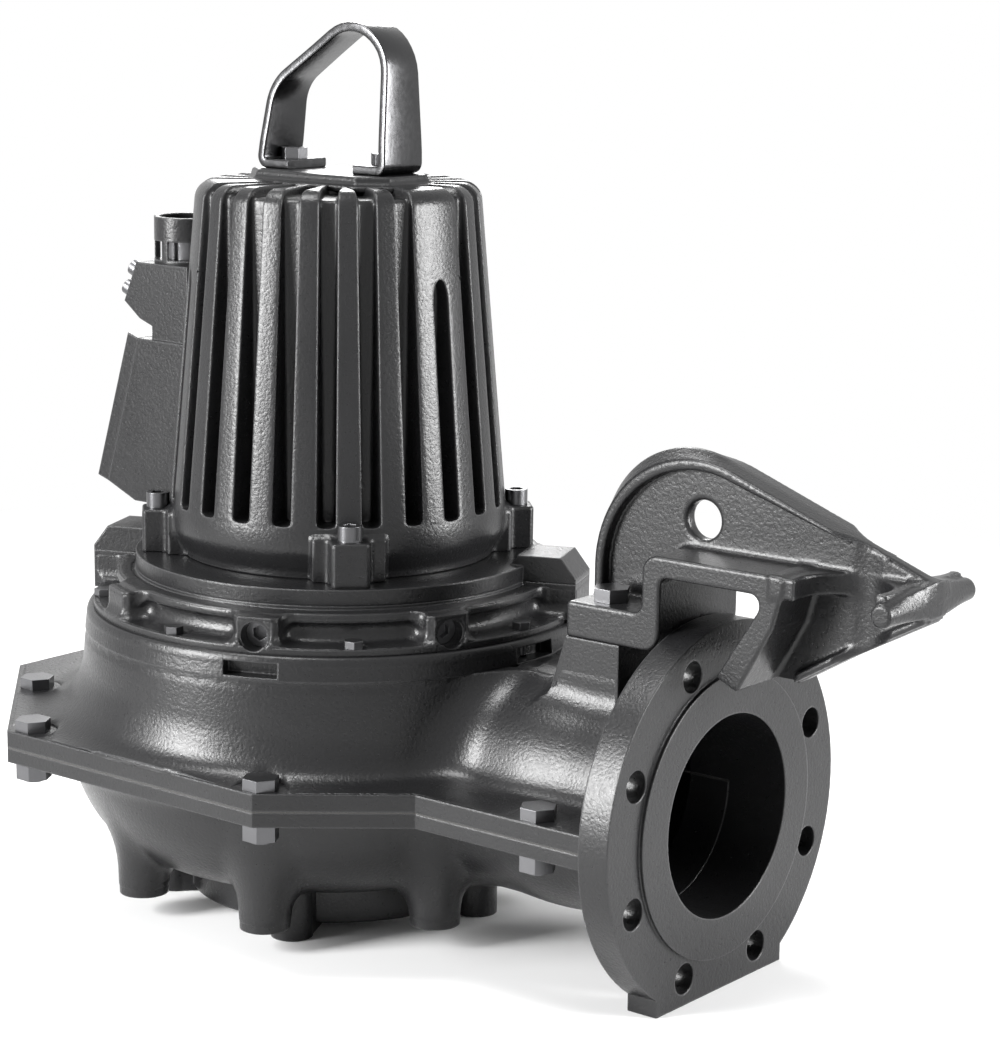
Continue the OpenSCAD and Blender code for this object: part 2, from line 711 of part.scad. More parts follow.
// A plain ring between two radii and two heights
module washer(r_in, r_out, z, h, fn = 64) {
    difference() {
        translate([0, 0, z]) cylinder(r = r_out, h = h, $fn = fn);
        translate([0, 0, z - eps]) cylinder(r = r_in, h = h + 2 * eps, $fn = fn);
    }
}

// A bearing race: a ring with a rounded track for each row of balls
module race(r_in, r_out, z, h, track_r, ball_r, rows) {
    difference() {
        washer(r_in, r_out, z, h);
        for (i = [0:rows - 1])
            translate([0, 0, z + h * (i + 0.5) / rows]) rotate_extrude($fn = 64)
                translate([track_r, 0]) circle(r = ball_r + 0.15, $fn = 32);
    }
}

// Balls of a bearing, held in a thin cage ring
module balls(z, h, track_r, ball_r, rows, count) {
    for (i = [0:rows - 1]) translate([0, 0, z + h * (i + 0.5) / rows]) {
        ring(count) translate([track_r, 0, 0]) sphere(r = ball_r, $fn = 24);
        washer(track_r - 1.2, track_r + 1.2, -ball_r * 0.45, ball_r * 0.9);
    }
}

module lower_bearing_outer() color(steel)
    race(lower_track_r + 4.5, bearing_r, bearing_z, bearing_h, lower_track_r, 8, 2);
module lower_bearing_inner() color(steel)
    race(bearing_shaft_r, lower_track_r - 4.5, bearing_z, bearing_h, lower_track_r, 8, 2);
module lower_bearing_balls() color(steel)
    balls(bearing_z, bearing_h, lower_track_r, 8, 2, 11);
module upper_bearing_outer() color(steel)
    race(upper_track_r + 3, upper_bearing_r, upper_bearing_z, 17, upper_track_r, 5.5, 1);
module upper_bearing_inner() color(steel)
    race(upper_shaft_r, upper_track_r - 3, upper_bearing_z, 17, upper_track_r, 5.5, 1);
module upper_bearing_balls() color(steel)
    balls(upper_bearing_z, 17, upper_track_r, 5.5, 1, 8);

module motor_o_ring() color([0.08, 0.08, 0.08])
    translate([0, 0, deck_z - 1.5]) rotate_extrude($fn = 64)
        translate([o_ring_r, 0]) square([4, 3], center = true);

// Cuts of one groove: the long slot with its round end, and its run across the crown
module groove(top) {
    z0 = deck_z + skirt_h + groove_w / 2;
    translate([groove_floor_r, -groove_w / 2, z0]) cube([60, groove_w, top - z0]);
    translate([groove_floor_r, 0, z0]) rotate([0, 90, 0]) cylinder(d = groove_w, h = 60, $fn = 32);
    if (top > crown_z) {
        translate([crown_flat_r, -groove_w / 2, crown_z - 7]) cube([80, groove_w, 20]);
    }
}

// Raised seat of the bail on the motor's crown
module bail_seat() {
    translate([0, 0, crown_z - 9]) linear_extrude(crown_t + 9)
        polygon([for (x = [-1, 1]) for (p = x < 0 ? [[-50, 38], [-70, 22], [-70, -22], [-50, -38]]
            : [[50, -38], [70, -22], [70, 22], [50, 38]]) p]);
}

module motor_housing() color(casing_black) {
    difference() {
        union() {
            ribbed_cone();
            bail_seat();
            entry_pad();
        }
        motor_inside();
    }
}

// The housing's outside: skirt, cone, rounded crown and grooves
module ribbed_cone() {
    edge = 15;
    difference() {
        union() {
            rotate_extrude($fn = 120)
                polygon(concat([[0, deck_z], [skirt_r, deck_z], [skirt_r, deck_z + 4],
                    [cone_r, deck_z + 20], [cone_r, deck_z + 34]],
                    [for (t = [0:15:90]) [cone_top_r - edge + edge * cos(t), crown_z - edge + edge * sin(t)]],
                    [[0, crown_z]]));
            ring(4, 45) motor_lug();
        }
        for (k = [0:groove_count - 1])
            rotate([0, 0, 7.5 + k * 360 / groove_count])
                groove(k % (groove_count / 3) == short_groove ? pad_z : crown_z + 10);
    }
}

// The motor's bore, its bearing seat and its screw holes
module motor_inside() {
    union() {
        translate([0, 0, deck_z - eps]) cylinder(r = stator_r + seat_gap, h = stator_top_z + 2 - deck_z + eps, $fn = 96);
        difference() {
            translate([0, 0, stator_top_z]) cylinder(r1 = stator_r - 4, r2 = 78, h = 62, $fn = 96);
            translate([0, 0, upper_bearing_z - 8]) cylinder(r = upper_bearing_r + 11, h = 80, $fn = 64);
        }
        translate([0, 0, upper_bearing_z - 20]) cylinder(r = upper_bearing_r - 4, h = 21, $fn = 64);
        translate([0, 0, upper_bearing_z]) cylinder(r = upper_bearing_r, h = 18, $fn = 64);
        ring(4, 45) translate([motor_screw_ring_r, 0, deck_z - eps])
            cylinder(d = motor_screw_d + 1, h = 60, $fn = 24);
        for (s = [-1, 1]) translate([s * bail_bolt_x, 0, crown_z - 12])
            cylinder(d = bail_bolt_d, h = 40, $fn = 24);
        translate([-gland_x, 0, box_mid_z]) rotate([0, 90, 0]) cylinder(r = 12, h = 100, $fn = 32);
    }
}

// One fixing lug of the motor housing, on its deck
module motor_lug() {
    translate([0, 0, deck_z]) linear_extrude(lug_h)
        polygon([[skirt_r - 14, -lug_w / 2 - 3], [lug_r - 2, -lug_w / 2], [lug_r, -lug_w / 2 + 2],
            [lug_r, lug_w / 2 - 2], [lug_r - 2, lug_w / 2], [skirt_r - 14, lug_w / 2 + 3]]);
}

// Flat pad on the motor's side that carries the junction box
module entry_pad() {
    translate([-box_seat_x, -box_half_w + 6, box_mid_z - 60])
        cube([box_seat_x - 98, 2 * box_half_w - 12, 120]);
}

module motor_screws() color(steel) {
    ring(4, 45) translate([motor_screw_ring_r, 0, deck_z + lug_h]) {
        difference() {
            cylinder(d = motor_screw_d * 1.5, h = motor_screw_d, $fn = 48);
            translate([0, 0, motor_screw_d / 2]) hex(motor_screw_d * 0.8, motor_screw_d);
        }
        translate([0, 0, -lug_h - deck_t - 20])
            cylinder(d = motor_screw_d, h = lug_h + deck_t + 21, $fn = 24);
    }
}

module lifting_bail() color([0.75, 0.75, 0.76]) {
    z = crown_z + crown_t;
    path = rounded_path([[-bail_bolt_x + 13, z], [-66, z], [-54.5, z + bail_h - 47], [62.5, z + bail_h + 26],
        [65, z], [bail_bolt_x - 13, z]], [9, 24, 30, 9]);
    difference() {
        intersection() {
            translate([0, 60, 0]) rotate([90, 0, 0]) linear_extrude(120) polygon(strip(path, -bail_t));
            rotate([90, 0, 90]) translate([0, 0, -150]) linear_extrude(300)
                polygon([[-bail_foot_w / 2, z - eps], [bail_foot_w / 2, z - eps],
                    [bail_foot_w / 2, z + 20], [bail_crown_w / 2, z + bail_h - 20],
                    [bail_crown_w / 2, z + bail_h + 40], [-bail_crown_w / 2, z + bail_h + 40],
                    [-bail_crown_w / 2, z + bail_h - 20], [-bail_foot_w / 2, z + 20]]);
        }
        for (s = [-1, 1]) translate([s * bail_bolt_x, 0, z - 5])
            cylinder(d = bail_bolt_d + 1, h = 20, $fn = 24);
    }
}

module bail_bolts() color(steel) {
    z = crown_z + crown_t + bail_t;
    for (s = [-1, 1]) translate([s * bail_bolt_x, 0, z]) {
        rotate([0, 0, 30]) hex(bail_bolt_d * 1.5, bail_bolt_d * 0.7);
        translate([0, 0, -bail_t - 18]) cylinder(d = bail_bolt_d, h = bail_t + 19, $fn = 24);
    }
}

// Side outline of the junction box, pulled in all round by a wall
function box_outline(inset) =
    [[-box_seat_x - inset, box_mid_z - 66 + inset],
     [-190 + inset, box_mid_z - 66 + inset], [-221 + inset, box_mid_z - 53 + inset],
     [-184 + inset, box_mid_z + 67.5 - inset], [-box_seat_x - inset, box_mid_z + 66.5 - inset]];

module junction_box() color(casing_black) {
    difference() {
        union() {
            translate([0, box_half_w, 0]) rotate([90, 0, 0]) linear_extrude(2 * box_half_w)
                polygon(box_outline(0));
            translate([0, box_half_w - 4, 0]) rotate([90, 0, 0]) linear_extrude(2 * box_half_w - 8)
                polygon([[-gland_x - 12, box_mid_z + 66], [-gland_x - 12, box_mid_z + 78],
                    [-gland_x - 26, box_mid_z + 83], [-gland_x - 43, box_mid_z + 96],
                    [-gland_x - 29, gland_z], [-gland_x + 28, gland_z], [-gland_x + 28, box_mid_z + 66]]);
        }
        intersection() {
            translate([0, box_half_w - 7, 0]) rotate([90, 0, 0]) linear_extrude(2 * box_half_w - 14)
                polygon([[-box_seat_x - 7, box_mid_z - 58], [-186, box_mid_z - 58], [-211, box_mid_z - 48],
                    [-223, box_mid_z - 44], [-189, box_mid_z + 60], [-box_seat_x - 7, box_mid_z + 60]]);
        }
        translate([-gland_x, 0, gland_z - 20]) cylinder(r = gland_bore_r + 7, h = 100, $fn = 48);
        translate([-gland_x, 0, box_mid_z + 40]) cylinder(r = gland_bore_r + 1, h = 100, $fn = 48);
        at_gland_screws() translate([0, 0, -12]) cylinder(d = 8, h = 20, $fn = 24);
        translate([-200, 0, box_mid_z]) rotate([0, 90, 0]) cylinder(r = 12, h = 100, $fn = 32);
        box_screw_holes(6, 16);
    }
}

// Places on the slanted face of the junction box
module on_box_face() {
    translate([-221, 0, box_mid_z - 53]) rotate([0, box_slant - 90, 0]) children();
}

module box_screw_holes(d, h) {
    on_box_face() for (u = [12, box_face_h - 12]) for (y = [-1, 1])
        translate([u, y * (box_half_w - 8), -h]) cylinder(d = d, h = h + 1, $fn = 24);
}

module junction_cover() color(casing_black) {
    difference() {
        on_box_face() translate([0, -box_half_w, 0])
            cube([box_face_h, 2 * box_half_w, box_cover_t]);
        on_box_face() for (u = [12, box_face_h - 12]) for (y = [-1, 1])
            translate([u, y * (box_half_w - 8), -1]) {
                cylinder(d = 7, h = 60, $fn = 24);
                translate([0, 0, box_cover_t - 6]) cylinder(d = 12, h = 20, $fn = 32);
            }
    }
}

module junction_screws() color(steel) {
    on_box_face() for (u = [12, box_face_h - 12]) for (y = [-1, 1])
        translate([u, y * (box_half_w - 8), box_cover_t - 6]) {
            difference() {
                cylinder(d = 10, h = 6, $fn = 32);
                translate([0, 0, 3]) hex(5, 5);
            }
            translate([0, 0, -box_cover_t - 7]) cylinder(d = 6, h = box_cover_t + 8, $fn = 24);
        }
}

module gland_body() color(casing_black) {
    difference() {
        translate([-gland_x, 0, gland_z]) cylinder(r = gland_r, h = gland_h, $fn = 64);
        translate([-gland_x, 0, gland_z + 3]) cylinder(r = gland_r - 4, h = gland_h, $fn = 64);
        translate([-gland_x, 0, gland_z - eps]) cylinder(r = gland_bore_r + 7, h = 40, $fn = 48);
        for (a = [0:60:300]) translate([-gland_x, 0, gland_z + 3]) rotate([0, 0, a])
            translate([gland_r - 8, -11, 0]) cube([16, 22, 15]);
    }
}

// Places of the gland screws on the slanted shoulder of the junction box
module at_gland_screws() {
    for (u = [0.25, 0.75])
        translate([-gland_x - 43 + 14 * u, 11 - box_half_w, box_mid_z + 96 + u * (gland_z - box_mid_z - 96)])
            rotate([0, -66, 0]) children();
}

module gland_screws() color(steel) {
    at_gland_screws() {
        cylinder(d = 13, h = 7, $fn = 32);
        translate([0, 0, -12]) cylinder(d = 8, h = 13, $fn = 24);
    }
}

module gland_nut() color(steel) {
    difference() {
        union() {
            translate([-gland_x, 0, gland_z + 19]) hex(2 * gland_r - 16, 12);
            translate([-gland_x, 0, gland_z + 3]) cylinder(r = gland_bore_r + 6, h = 17, $fn = 48);
        }
        translate([-gland_x, 0, gland_z]) cylinder(r = gland_bore_r + 1, h = 60, $fn = 48);
    }
}

module gland_seal() color([0.07, 0.07, 0.07])
    translate([-gland_x, 0, 0]) washer(gland_bore_r, gland_bore_r + 6.9, gland_z - 20, 23);

module terminal_board() color([0.5, 0.32, 0.2]) {
    translate([-176, -20, box_mid_z - 30]) cube([8, 40, 60]);
    for (y = [-10, 10]) for (z = [-18, 0, 18])
        translate([-184, y, box_mid_z + z]) rotate([0, 90, 0]) cylinder(d = 6, h = 9, $fn = 24);
}

module stator_core() color(steel) {
    difference() {
        translate([0, 0, core_z]) cylinder(r = stator_r, h = core_h, $fn = 96);
        translate([0, 0, core_z - eps]) cylinder(r = rotor_r + air_gap, h = core_h + 2 * eps, $fn = 96);
    }
}

module stator_windings() color([0.6, 0.3, 0.15]) {
    for (z = [core_z - 18, stator_top_z + 16])
        translate([0, 0, z]) rotate_extrude($fn = 64)
            polygon([for (t = [0:30:330]) [73 + 10 * cos(t), 16 * sin(t)]]);
    for (z = [core_z - 4, stator_top_z]) washer(65, 82, z, 4);
}

module shaft() color(steel) {
    difference() {
        turned_shaft();
        translate([shaft_seat_r - 3, -4, shaft_end_z + 16]) cube([10, 8, 40]);
        translate([0, 0, shaft_end_z]) cylinder(r = 6, h = 40, $fn = 32);
    }
}

module turned_shaft() {
    rotate_extrude($fn = 64) polygon([
        [0, shaft_end_z + 6], [shaft_seat_r, shaft_end_z + 6], [shaft_seat_r, lid_z - 12], [17.5, lid_z - 12],
        [17.5, bearing_z - 2], [bearing_shaft_r, bearing_z - 2], [bearing_shaft_r, bearing_z + bearing_h + 10],
        [bearing_shaft_r + 5, bearing_z + bearing_h + 10], [bearing_shaft_r + 5, core_z - 20],
        [shaft_r, core_z - 20], [shaft_r, stator_top_z + 20], [upper_shaft_r + 3, stator_top_z + 20],
        [upper_shaft_r + 3, upper_bearing_z], [upper_shaft_r, upper_bearing_z],
        [upper_shaft_r, upper_bearing_z + 16], [0, upper_bearing_z + 16]]);
}

module rotor_core() color([0.5, 0.5, 0.52]) washer(shaft_r, rotor_r, core_z, core_h, 96);

module rotor_end_rings() color([0.7, 0.7, 0.72]) {
    washer(rotor_r - 24, rotor_r - 3, core_z - 9, 9);
    washer(rotor_r - 24, rotor_r - 3, stator_top_z, 9);
}

module upper_seal_seat() color([0.3, 0.3, 0.32])
    washer(18.2, seat_r - 0.05, bearing_z - 14, 10);
module upper_seal_ring() color([0.45, 0.45, 0.47])
    washer(17.5, 27, bearing_z - 22, 8);
module lower_seal_seat() color([0.3, 0.3, 0.32])
    washer(18.2, seat_r - 0.05, lid_z + wall - 14, 10);
module lower_seal_ring() color([0.45, 0.45, 0.47])
    washer(17.5, 27, lid_z + wall - 4, 8);
module seal_spring() color(steel) {
    z0 = lid_z + wall + 4;
    z1 = bearing_z - 22;
    washer(17.5, 21, z0, z1 - z0);
    for (i = [0:4]) translate([0, 0, z0 + (z1 - z0) * (i + 0.5) / 5]) rotate_extrude($fn = 48)
        translate([23, 0]) circle(r = 2.2, $fn = 16);
}

// One impeller vane as a spiral band seen from above, swept back against the rotation
module vane_outline() {
    n = 24;
    outer = [for (i = [0:n]) let (s = i / n, a = -s * 200, r = 34 + (impeller_r - 34) * s) r * [cos(a), sin(a)]];
    inner = [for (i = [n:-1:0]) let (s = i / n, a = -s * 200 - 5, r = 34 + (impeller_r - 34) * s - vane_t)
        r * [cos(a), sin(a)]];
    polygon(concat(outer, inner));
}

module impeller() color([0.22, 0.22, 0.23]) {
    low = split_z - passage_h / 2;
    high = split_z + passage_h / 2;
    rim_r1 = inlet_d / 2 + 1;
    difference() {
        union() {
            rotate_extrude($fn = 96) polygon([
                [rim_r1, bowl_z + 5], [neck_ring_r, bowl_z + 5], [neck_ring_r, bowl_z + 22],
                [neck_ring_r + 4, bowl_z + 26], [impeller_r, low - shroud_t], [impeller_r, low],
                [rim_r1 + 8, bowl_z + 40], [rim_r1, bowl_z + 30]]);
            translate([0, 0, high]) cylinder(r = impeller_r, h = shroud_t, $fn = 96);
            translate([0, 0, shaft_end_z + 4]) cylinder(r1 = 27, r2 = 36, h = high - shaft_end_z, $fn = 64);
            translate([0, 0, high]) cylinder(r = 30, h = lid_z - 12 - high, $fn = 64);
            intersection() {
                for (k = [0:vane_count - 1]) rotate([0, 0, k * 360 / vane_count])
                    translate([0, 0, bowl_z + 20]) linear_extrude(high - bowl_z - 19) vane_outline();
                rotate_extrude($fn = 96) polygon([[0, bowl_z + 36], [rim_r1, bowl_z + 24],
                    [impeller_r - 1, low - 2], [impeller_r - 1, high + 2], [0, high + 2]]);
            }
        }
        translate([0, 0, shaft_end_z - 1]) cylinder(r = shaft_seat_r + seat_gap, h = 200, $fn = 64);
        translate([10, -4, shaft_end_z - 1]) cube([shaft_seat_r - 6.9, 8, 100]);
    }
}

module impeller_key() color(steel)
    translate([shaft_seat_r - 3, -4, shaft_end_z + 16]) cube([6, 8, 40]);

module impeller_washer() color(steel)
    washer(6, 23, shaft_end_z - 1, 5);

module impeller_screw() color(steel) {
    translate([0, 0, shaft_end_z - 9]) hex(18, 8);
    translate([0, 0, shaft_end_z - 2]) cylinder(r = 6, h = 36, $fn = 32);
}

// Side outline of the claw's foot, riser, table and hook
function claw_outline() =
    let (
        t = 15,
        f0 = claw_x0,
        z = claw_seat_z,
        riser = flange_x - 46,
        top = z + 69,
        corners = [[f0, z], [riser + t, z], [riser + t, top - t], [flange_x + 58, top - t],
            [flange_x + 18, z - 9], [flange_x + 36, z - 17], [flange_x + 63, z + 32], [flange_x + 71, z + 60],
            [flange_x + 71, top], [riser, top], [riser, z + 26], [f0, z + 26]],
        radii = [0.5, 13, 6, 8, 4, 4, 6, 6, 5, 12, 8, 0.5],
        n = len(corners)
    )
    [for (i = [0:n - 1]) each rounded(corners[(i + n - 1) % n], corners[i], corners[(i + 1) % n], radii[i], 4)];

// Side outline of the claw's web: an arc about a centre and a straight slope to the tip
function web_outline(cx, cz, r) =
    let (tip = [bar_x + 10, claw_seat_z + 71], d = tip - [cx, cz], touch = atan2(d[1], d[0]) + acos(r / norm(d)))
    concat([[cx - r, claw_seat_z + 20]], arc(cx, cz, r, 180, touch, 20),
        [tip, [tip[0], claw_seat_z + 60], [claw_x0 + 68, claw_seat_z + 60], [claw_x0 + 68, claw_seat_z + 20]]);

module guide_claw() color(casing_black) {
    difference() {
        union() {
            claw_plate();
            claw_web();
            claw_front();
        }
        for (s = [-1, 1]) translate([pipe_x, s * (pipe_notch_r + web_t / 2 - 1), 0])
            cylinder(r = pipe_notch_r, h = 600, $fn = 64);
        translate([claw_x0 + 86, 50, claw_seat_z + 89.5]) rotate([90, 0, 0])
            cylinder(r = lift_hole_r, h = 100, $fn = 48);
        claw_bolt_holes(claw_bolt_d + 1, claw_seat_z - eps, 60);
    }
}

module claw_plate() {
    translate([0, claw_half_w, 0]) rotate([90, 0, 0]) linear_extrude(2 * claw_half_w) polygon(claw_outline());
}

// The centre web with its rim, which is crowned where it turns over the lifting hole
module claw_web() {
    cx = claw_x0 + 85.5;
    cz = claw_seat_z + 45.5;
    difference() {
        hull() {
            translate([0, web_rim_half_w, 0]) rotate([90, 0, 0]) linear_extrude(2 * web_rim_half_w)
                polygon(web_outline(cx, cz, web_arc_r));
            translate([0, 2, 0]) rotate([90, 0, 0]) linear_extrude(4)
                polygon(web_outline(cx - 11.5, cz + 17.5, web_arc_r - 11.5));
        }
        for (y = [-web_rim_half_w - eps, web_t / 2])
            translate([0, y + web_rim_half_w + eps - web_t / 2, 0]) rotate([90, 0, 0])
                linear_extrude(web_rim_half_w + eps - web_t / 2)
                    polygon(web_outline(cx, cz, web_arc_r - web_rim_t));
        translate([claw_x0 + 68, -claw_half_w, claw_seat_z - 60]) cube([400, 2 * claw_half_w, 119]);
    }
    translate([0, web_t / 2, 0]) rotate([90, 0, 0]) linear_extrude(web_t) polygon(web_lower());
    translate([0, 14, 0]) rotate([90, 0, 0]) linear_extrude(28)
        polygon([[flange_x + 59, claw_seat_z - 13], [flange_x + 99, claw_seat_z + 11], [bar_x + 8, claw_seat_z + 44],
            [bar_x + 8, claw_seat_z + 50], [flange_x + 99, claw_seat_z + 17], [flange_x + 59, claw_seat_z - 7]]);
}

// Side outline of the web below the table, between the hook and the cross bar
function web_lower() =
    [[flange_x + 36, claw_seat_z - 13], [flange_x + 59, claw_seat_z - 13], [flange_x + 99, claw_seat_z + 11],
     [bar_x + 8, claw_seat_z + 44], [bar_x + 8, claw_seat_z + 66], [flange_x + 60, claw_seat_z + 66]];

module claw_front() {
    z = claw_seat_z + 56;
    translate([flange_x + 60, -claw_half_w, claw_seat_z + 54])
        cube([bar_x - flange_x - 60, 2 * claw_half_w, 15]);
    hull() {
        translate([bar_x, claw_bar_half, z]) rotate([90, 0, 0]) cylinder(r = 8, h = 2 * claw_bar_half, $fn = 32);
        translate([bar_x - 8, -4, z - 9]) cube([20, 8, 25]);
    }
}

module claw_bolts() color(steel) {
    for (y = [-28, 28]) translate([claw_x0 + 24, y, claw_seat_z + 26]) {
        hex(claw_bolt_d * 1.5, claw_bolt_d * 0.62);
        translate([0, 0, -26 - 34]) cylinder(d = claw_bolt_d, h = 61, $fn = 32);
    }
}

motor_housing();
motor_screws();
lifting_bail();
bail_bolts();
junction_box();
junction_cover();
junction_screws();
gland_body();
gland_nut();
gland_seal();
gland_screws();
terminal_board();
stator_core();
stator_windings();
upper_bearing_outer();
upper_bearing_inner();
upper_bearing_balls();
bearing_housing();
lower_bearing_outer();
lower_bearing_inner();
lower_bearing_balls();
bearing_retainer();
motor_o_ring();
oil_housing();
oil_cover();
oil_screws();
housing_screws();
lid_screws();
upper_seal_seat();
upper_seal_ring();
lower_seal_seat();
lower_seal_ring();
seal_spring();
upper_casing();
lower_casing();
casing_gasket();
casing_bolts();
casing_nuts();
suction_plate();
suction_screws();
guide_claw();
claw_bolts();
shaft();
rotor_core();
rotor_end_rings();
impeller();
impeller_washer();
impeller_screw();
impeller_key();
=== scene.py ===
# %% [markdown]
# # A submersible sewage pump, dressed in Blender
# The solids of the pump come ready made: every casting, bolt and shaft is loaded as a
# fixed frame, in metres. This notebook adds what a foundry and a paint shop add: soft
# cast edges, smooth swellings, and paint and steel that catch the light.

# %% Load the frame
import json
import math

import bmesh
import bpy
import numpy as np
from mathutils import Matrix, Vector


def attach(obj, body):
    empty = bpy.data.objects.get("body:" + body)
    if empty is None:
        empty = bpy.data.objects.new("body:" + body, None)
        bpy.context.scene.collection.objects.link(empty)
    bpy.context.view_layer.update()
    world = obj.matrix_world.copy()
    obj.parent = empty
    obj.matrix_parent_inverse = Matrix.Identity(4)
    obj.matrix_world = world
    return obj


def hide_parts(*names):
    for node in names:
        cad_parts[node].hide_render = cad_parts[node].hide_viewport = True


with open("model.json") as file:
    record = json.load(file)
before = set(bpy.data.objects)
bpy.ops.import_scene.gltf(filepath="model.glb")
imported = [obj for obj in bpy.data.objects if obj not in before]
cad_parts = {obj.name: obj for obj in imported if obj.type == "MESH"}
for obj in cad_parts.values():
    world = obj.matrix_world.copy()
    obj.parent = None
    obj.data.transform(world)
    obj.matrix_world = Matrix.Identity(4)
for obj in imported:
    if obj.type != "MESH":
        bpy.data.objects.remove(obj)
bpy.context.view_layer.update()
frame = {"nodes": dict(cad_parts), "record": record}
nodes = frame["nodes"]

# %% [markdown]
# ## The camera
# A photograph fixes the camera. Its direction, its place and its focal length were
# solved from the round flange and the pump's axis, so they are written down here as
# numbers. The lens is long, about 99 mm on a 36 mm sensor, and nearly level. A small
# shift frames the pump as the photograph does, without turning the camera.

# %% Camera
AZIMUTH, ELEVATION, ROLL = 38.561, 12.165, 0.718
CAMERA_AT, LENS_MM, SHIFT = (1.45549, -1.64347, 0.73641), 98.99, (0.01645, 0.0426)


def camera_axes(azimuth, elevation, roll):
    """Right, up and back of a camera that looks along minus back, turned by roll."""
    a, e, r = np.radians([azimuth, elevation, roll])
    back = np.array([math.sin(a) * math.cos(e), -math.cos(a) * math.cos(e), math.sin(e)])
    level = np.array([math.cos(a), math.sin(a), 0.0])
    over = np.cross(back, level)
    right = math.cos(r) * level + math.sin(r) * over
    up = -math.sin(r) * level + math.cos(r) * over
    return right, up, back


def add_camera(place, focal_mm, shift):
    """A camera on a 36 mm sensor. The columns of its matrix are its axes and its place."""
    data = bpy.data.cameras.new("camera")
    data.sensor_width, data.lens = 36, focal_mm
    data.shift_x, data.shift_y = shift
    data.clip_start, data.clip_end = 0.05, 50
    camera = bpy.data.objects.new("camera", data)
    bpy.context.scene.collection.objects.link(camera)
    columns = np.column_stack([*camera_axes(AZIMUTH, ELEVATION, ROLL), place])
    camera.matrix_world = Matrix(columns.tolist() + [[0, 0, 0, 1]])
    bpy.context.scene.camera = camera
    return camera


camera = add_camera(CAMERA_AT, LENS_MM, SHIFT)
print("camera", [round(v, 3) for v in camera.location])

# %% [markdown]
# ## A white world
# The pump stands in a white studio. A white wall of real light would wash the paint out.
# The Light Path node tells what kind of ray asks for the colour of the world, so the
# world can be white to the camera and to mirrors, and weak as a light on the paint.

# %% World
SEEN_WHITE, WORLD_LIGHT = 1.0, 0.16


def link_object(name, mesh):
    """A new object of the mesh, in the scene and at the origin."""
    piece = bpy.data.objects.new(name, mesh)
    bpy.context.scene.collection.objects.link(piece)
    return piece


def seen_directly(tree):
    """1 for rays of the camera, of mirrors and of clear things, 0 for light on a surface."""
    path = tree.nodes.new("ShaderNodeLightPath")
    total = path.outputs["Is Camera Ray"]
    for name in ("Is Glossy Ray", "Is Transmission Ray"):
        either = tree.nodes.new("ShaderNodeMath")
        either.operation = "MAXIMUM"
        tree.links.new(total, either.inputs[0])
        tree.links.new(path.outputs[name], either.inputs[1])
        total = either.outputs[0]
    return total


def white_world(seen, lit):
    """White where a camera or a mirror looks, weaker for everything else."""
    world = bpy.data.worlds.new("studio")
    world.use_nodes = True
    bpy.context.scene.world = world
    tree = world.node_tree
    level = tree.nodes.new("ShaderNodeMapRange")
    level.inputs["To Min"].default_value = lit
    level.inputs["To Max"].default_value = seen
    tree.links.new(seen_directly(tree), level.inputs["Value"])
    tree.nodes["Background"].inputs["Color"].default_value = (1, 1, 1, 1)
    tree.links.new(level.outputs[0], tree.nodes["Background"].inputs["Strength"])


white_world(SEEN_WHITE, WORLD_LIGHT)
print("world", bpy.context.scene.world.name)

# %% [markdown]
# ## The floor
# The floor is one large square just below the pump's feet. Close to the pump it is matt
# pale paint, lit like anything else, and it keeps the shadow. Further out it turns into
# the same even white as the world, so that no horizon shows. That white is there only for
# rays that look at the floor directly, so it puts no light on the pump.

# %% Floor
FADE_NEAR, FADE_FAR, FLOOR_HALF, FLOOR_DROP = 0.45, 1.6, 30, 0.0006


def floor_finish(near, far):
    """Matt pale paint that fades to plain white between two distances from the pump."""
    material = bpy.data.materials.new("pale floor")
    material.use_nodes = True
    tree = material.node_tree
    shader = tree.nodes["Principled BSDF"]
    shader.inputs["Base Color"].default_value = (0.9, 0.9, 0.9, 1)
    shader.inputs["Roughness"].default_value = 0.8
    place = tree.nodes.new("ShaderNodeTexCoord")
    away = tree.nodes.new("ShaderNodeVectorMath")
    away.operation = "LENGTH"
    tree.links.new(place.outputs["Object"], away.inputs[0])
    fade = tree.nodes.new("ShaderNodeMapRange")
    fade.inputs["From Min"].default_value, fade.inputs["From Max"].default_value = near, far
    tree.links.new(away.outputs["Value"], fade.inputs["Value"])
    both = tree.nodes.new("ShaderNodeMath")
    both.operation = "MULTIPLY"
    tree.links.new(fade.outputs[0], both.inputs[0])
    tree.links.new(seen_directly(tree), both.inputs[1])
    white = tree.nodes.new("ShaderNodeEmission")
    mix = tree.nodes.new("ShaderNodeMixShader")
    tree.links.new(both.outputs[0], mix.inputs[0])
    tree.links.new(shader.outputs[0], mix.inputs[1])
    tree.links.new(white.outputs[0], mix.inputs[2])
    tree.links.new(mix.outputs[0], tree.nodes["Material Output"].inputs["Surface"])
    return material


def add_floor(half):
    """A square of twice the half width, a little below the pump's feet."""
    corners = [(-half, -half, 0), (half, -half, 0), (half, half, 0), (-half, half, 0)]
    mesh = bpy.data.meshes.new("floor")
    mesh.from_pydata(corners, [], [(0, 1, 2, 3)])
    mesh.materials.append(floor_finish(FADE_NEAR, FADE_FAR))
    floor = link_object("floor", mesh)
    floor.location.z = -FLOOR_DROP
    return floor


floor = add_floor(FLOOR_HALF)
print("floor", floor.name)

# %% [markdown]
# ## Soft boxes
# Gloss paint is seen by what it mirrors. A tall box at the left draws long lights down
# the ribs, a box at the right does the same for the flange and the far ribs, a wide one
# overhead lights the shoulders of the casing, and a weak one behind draws the rims.

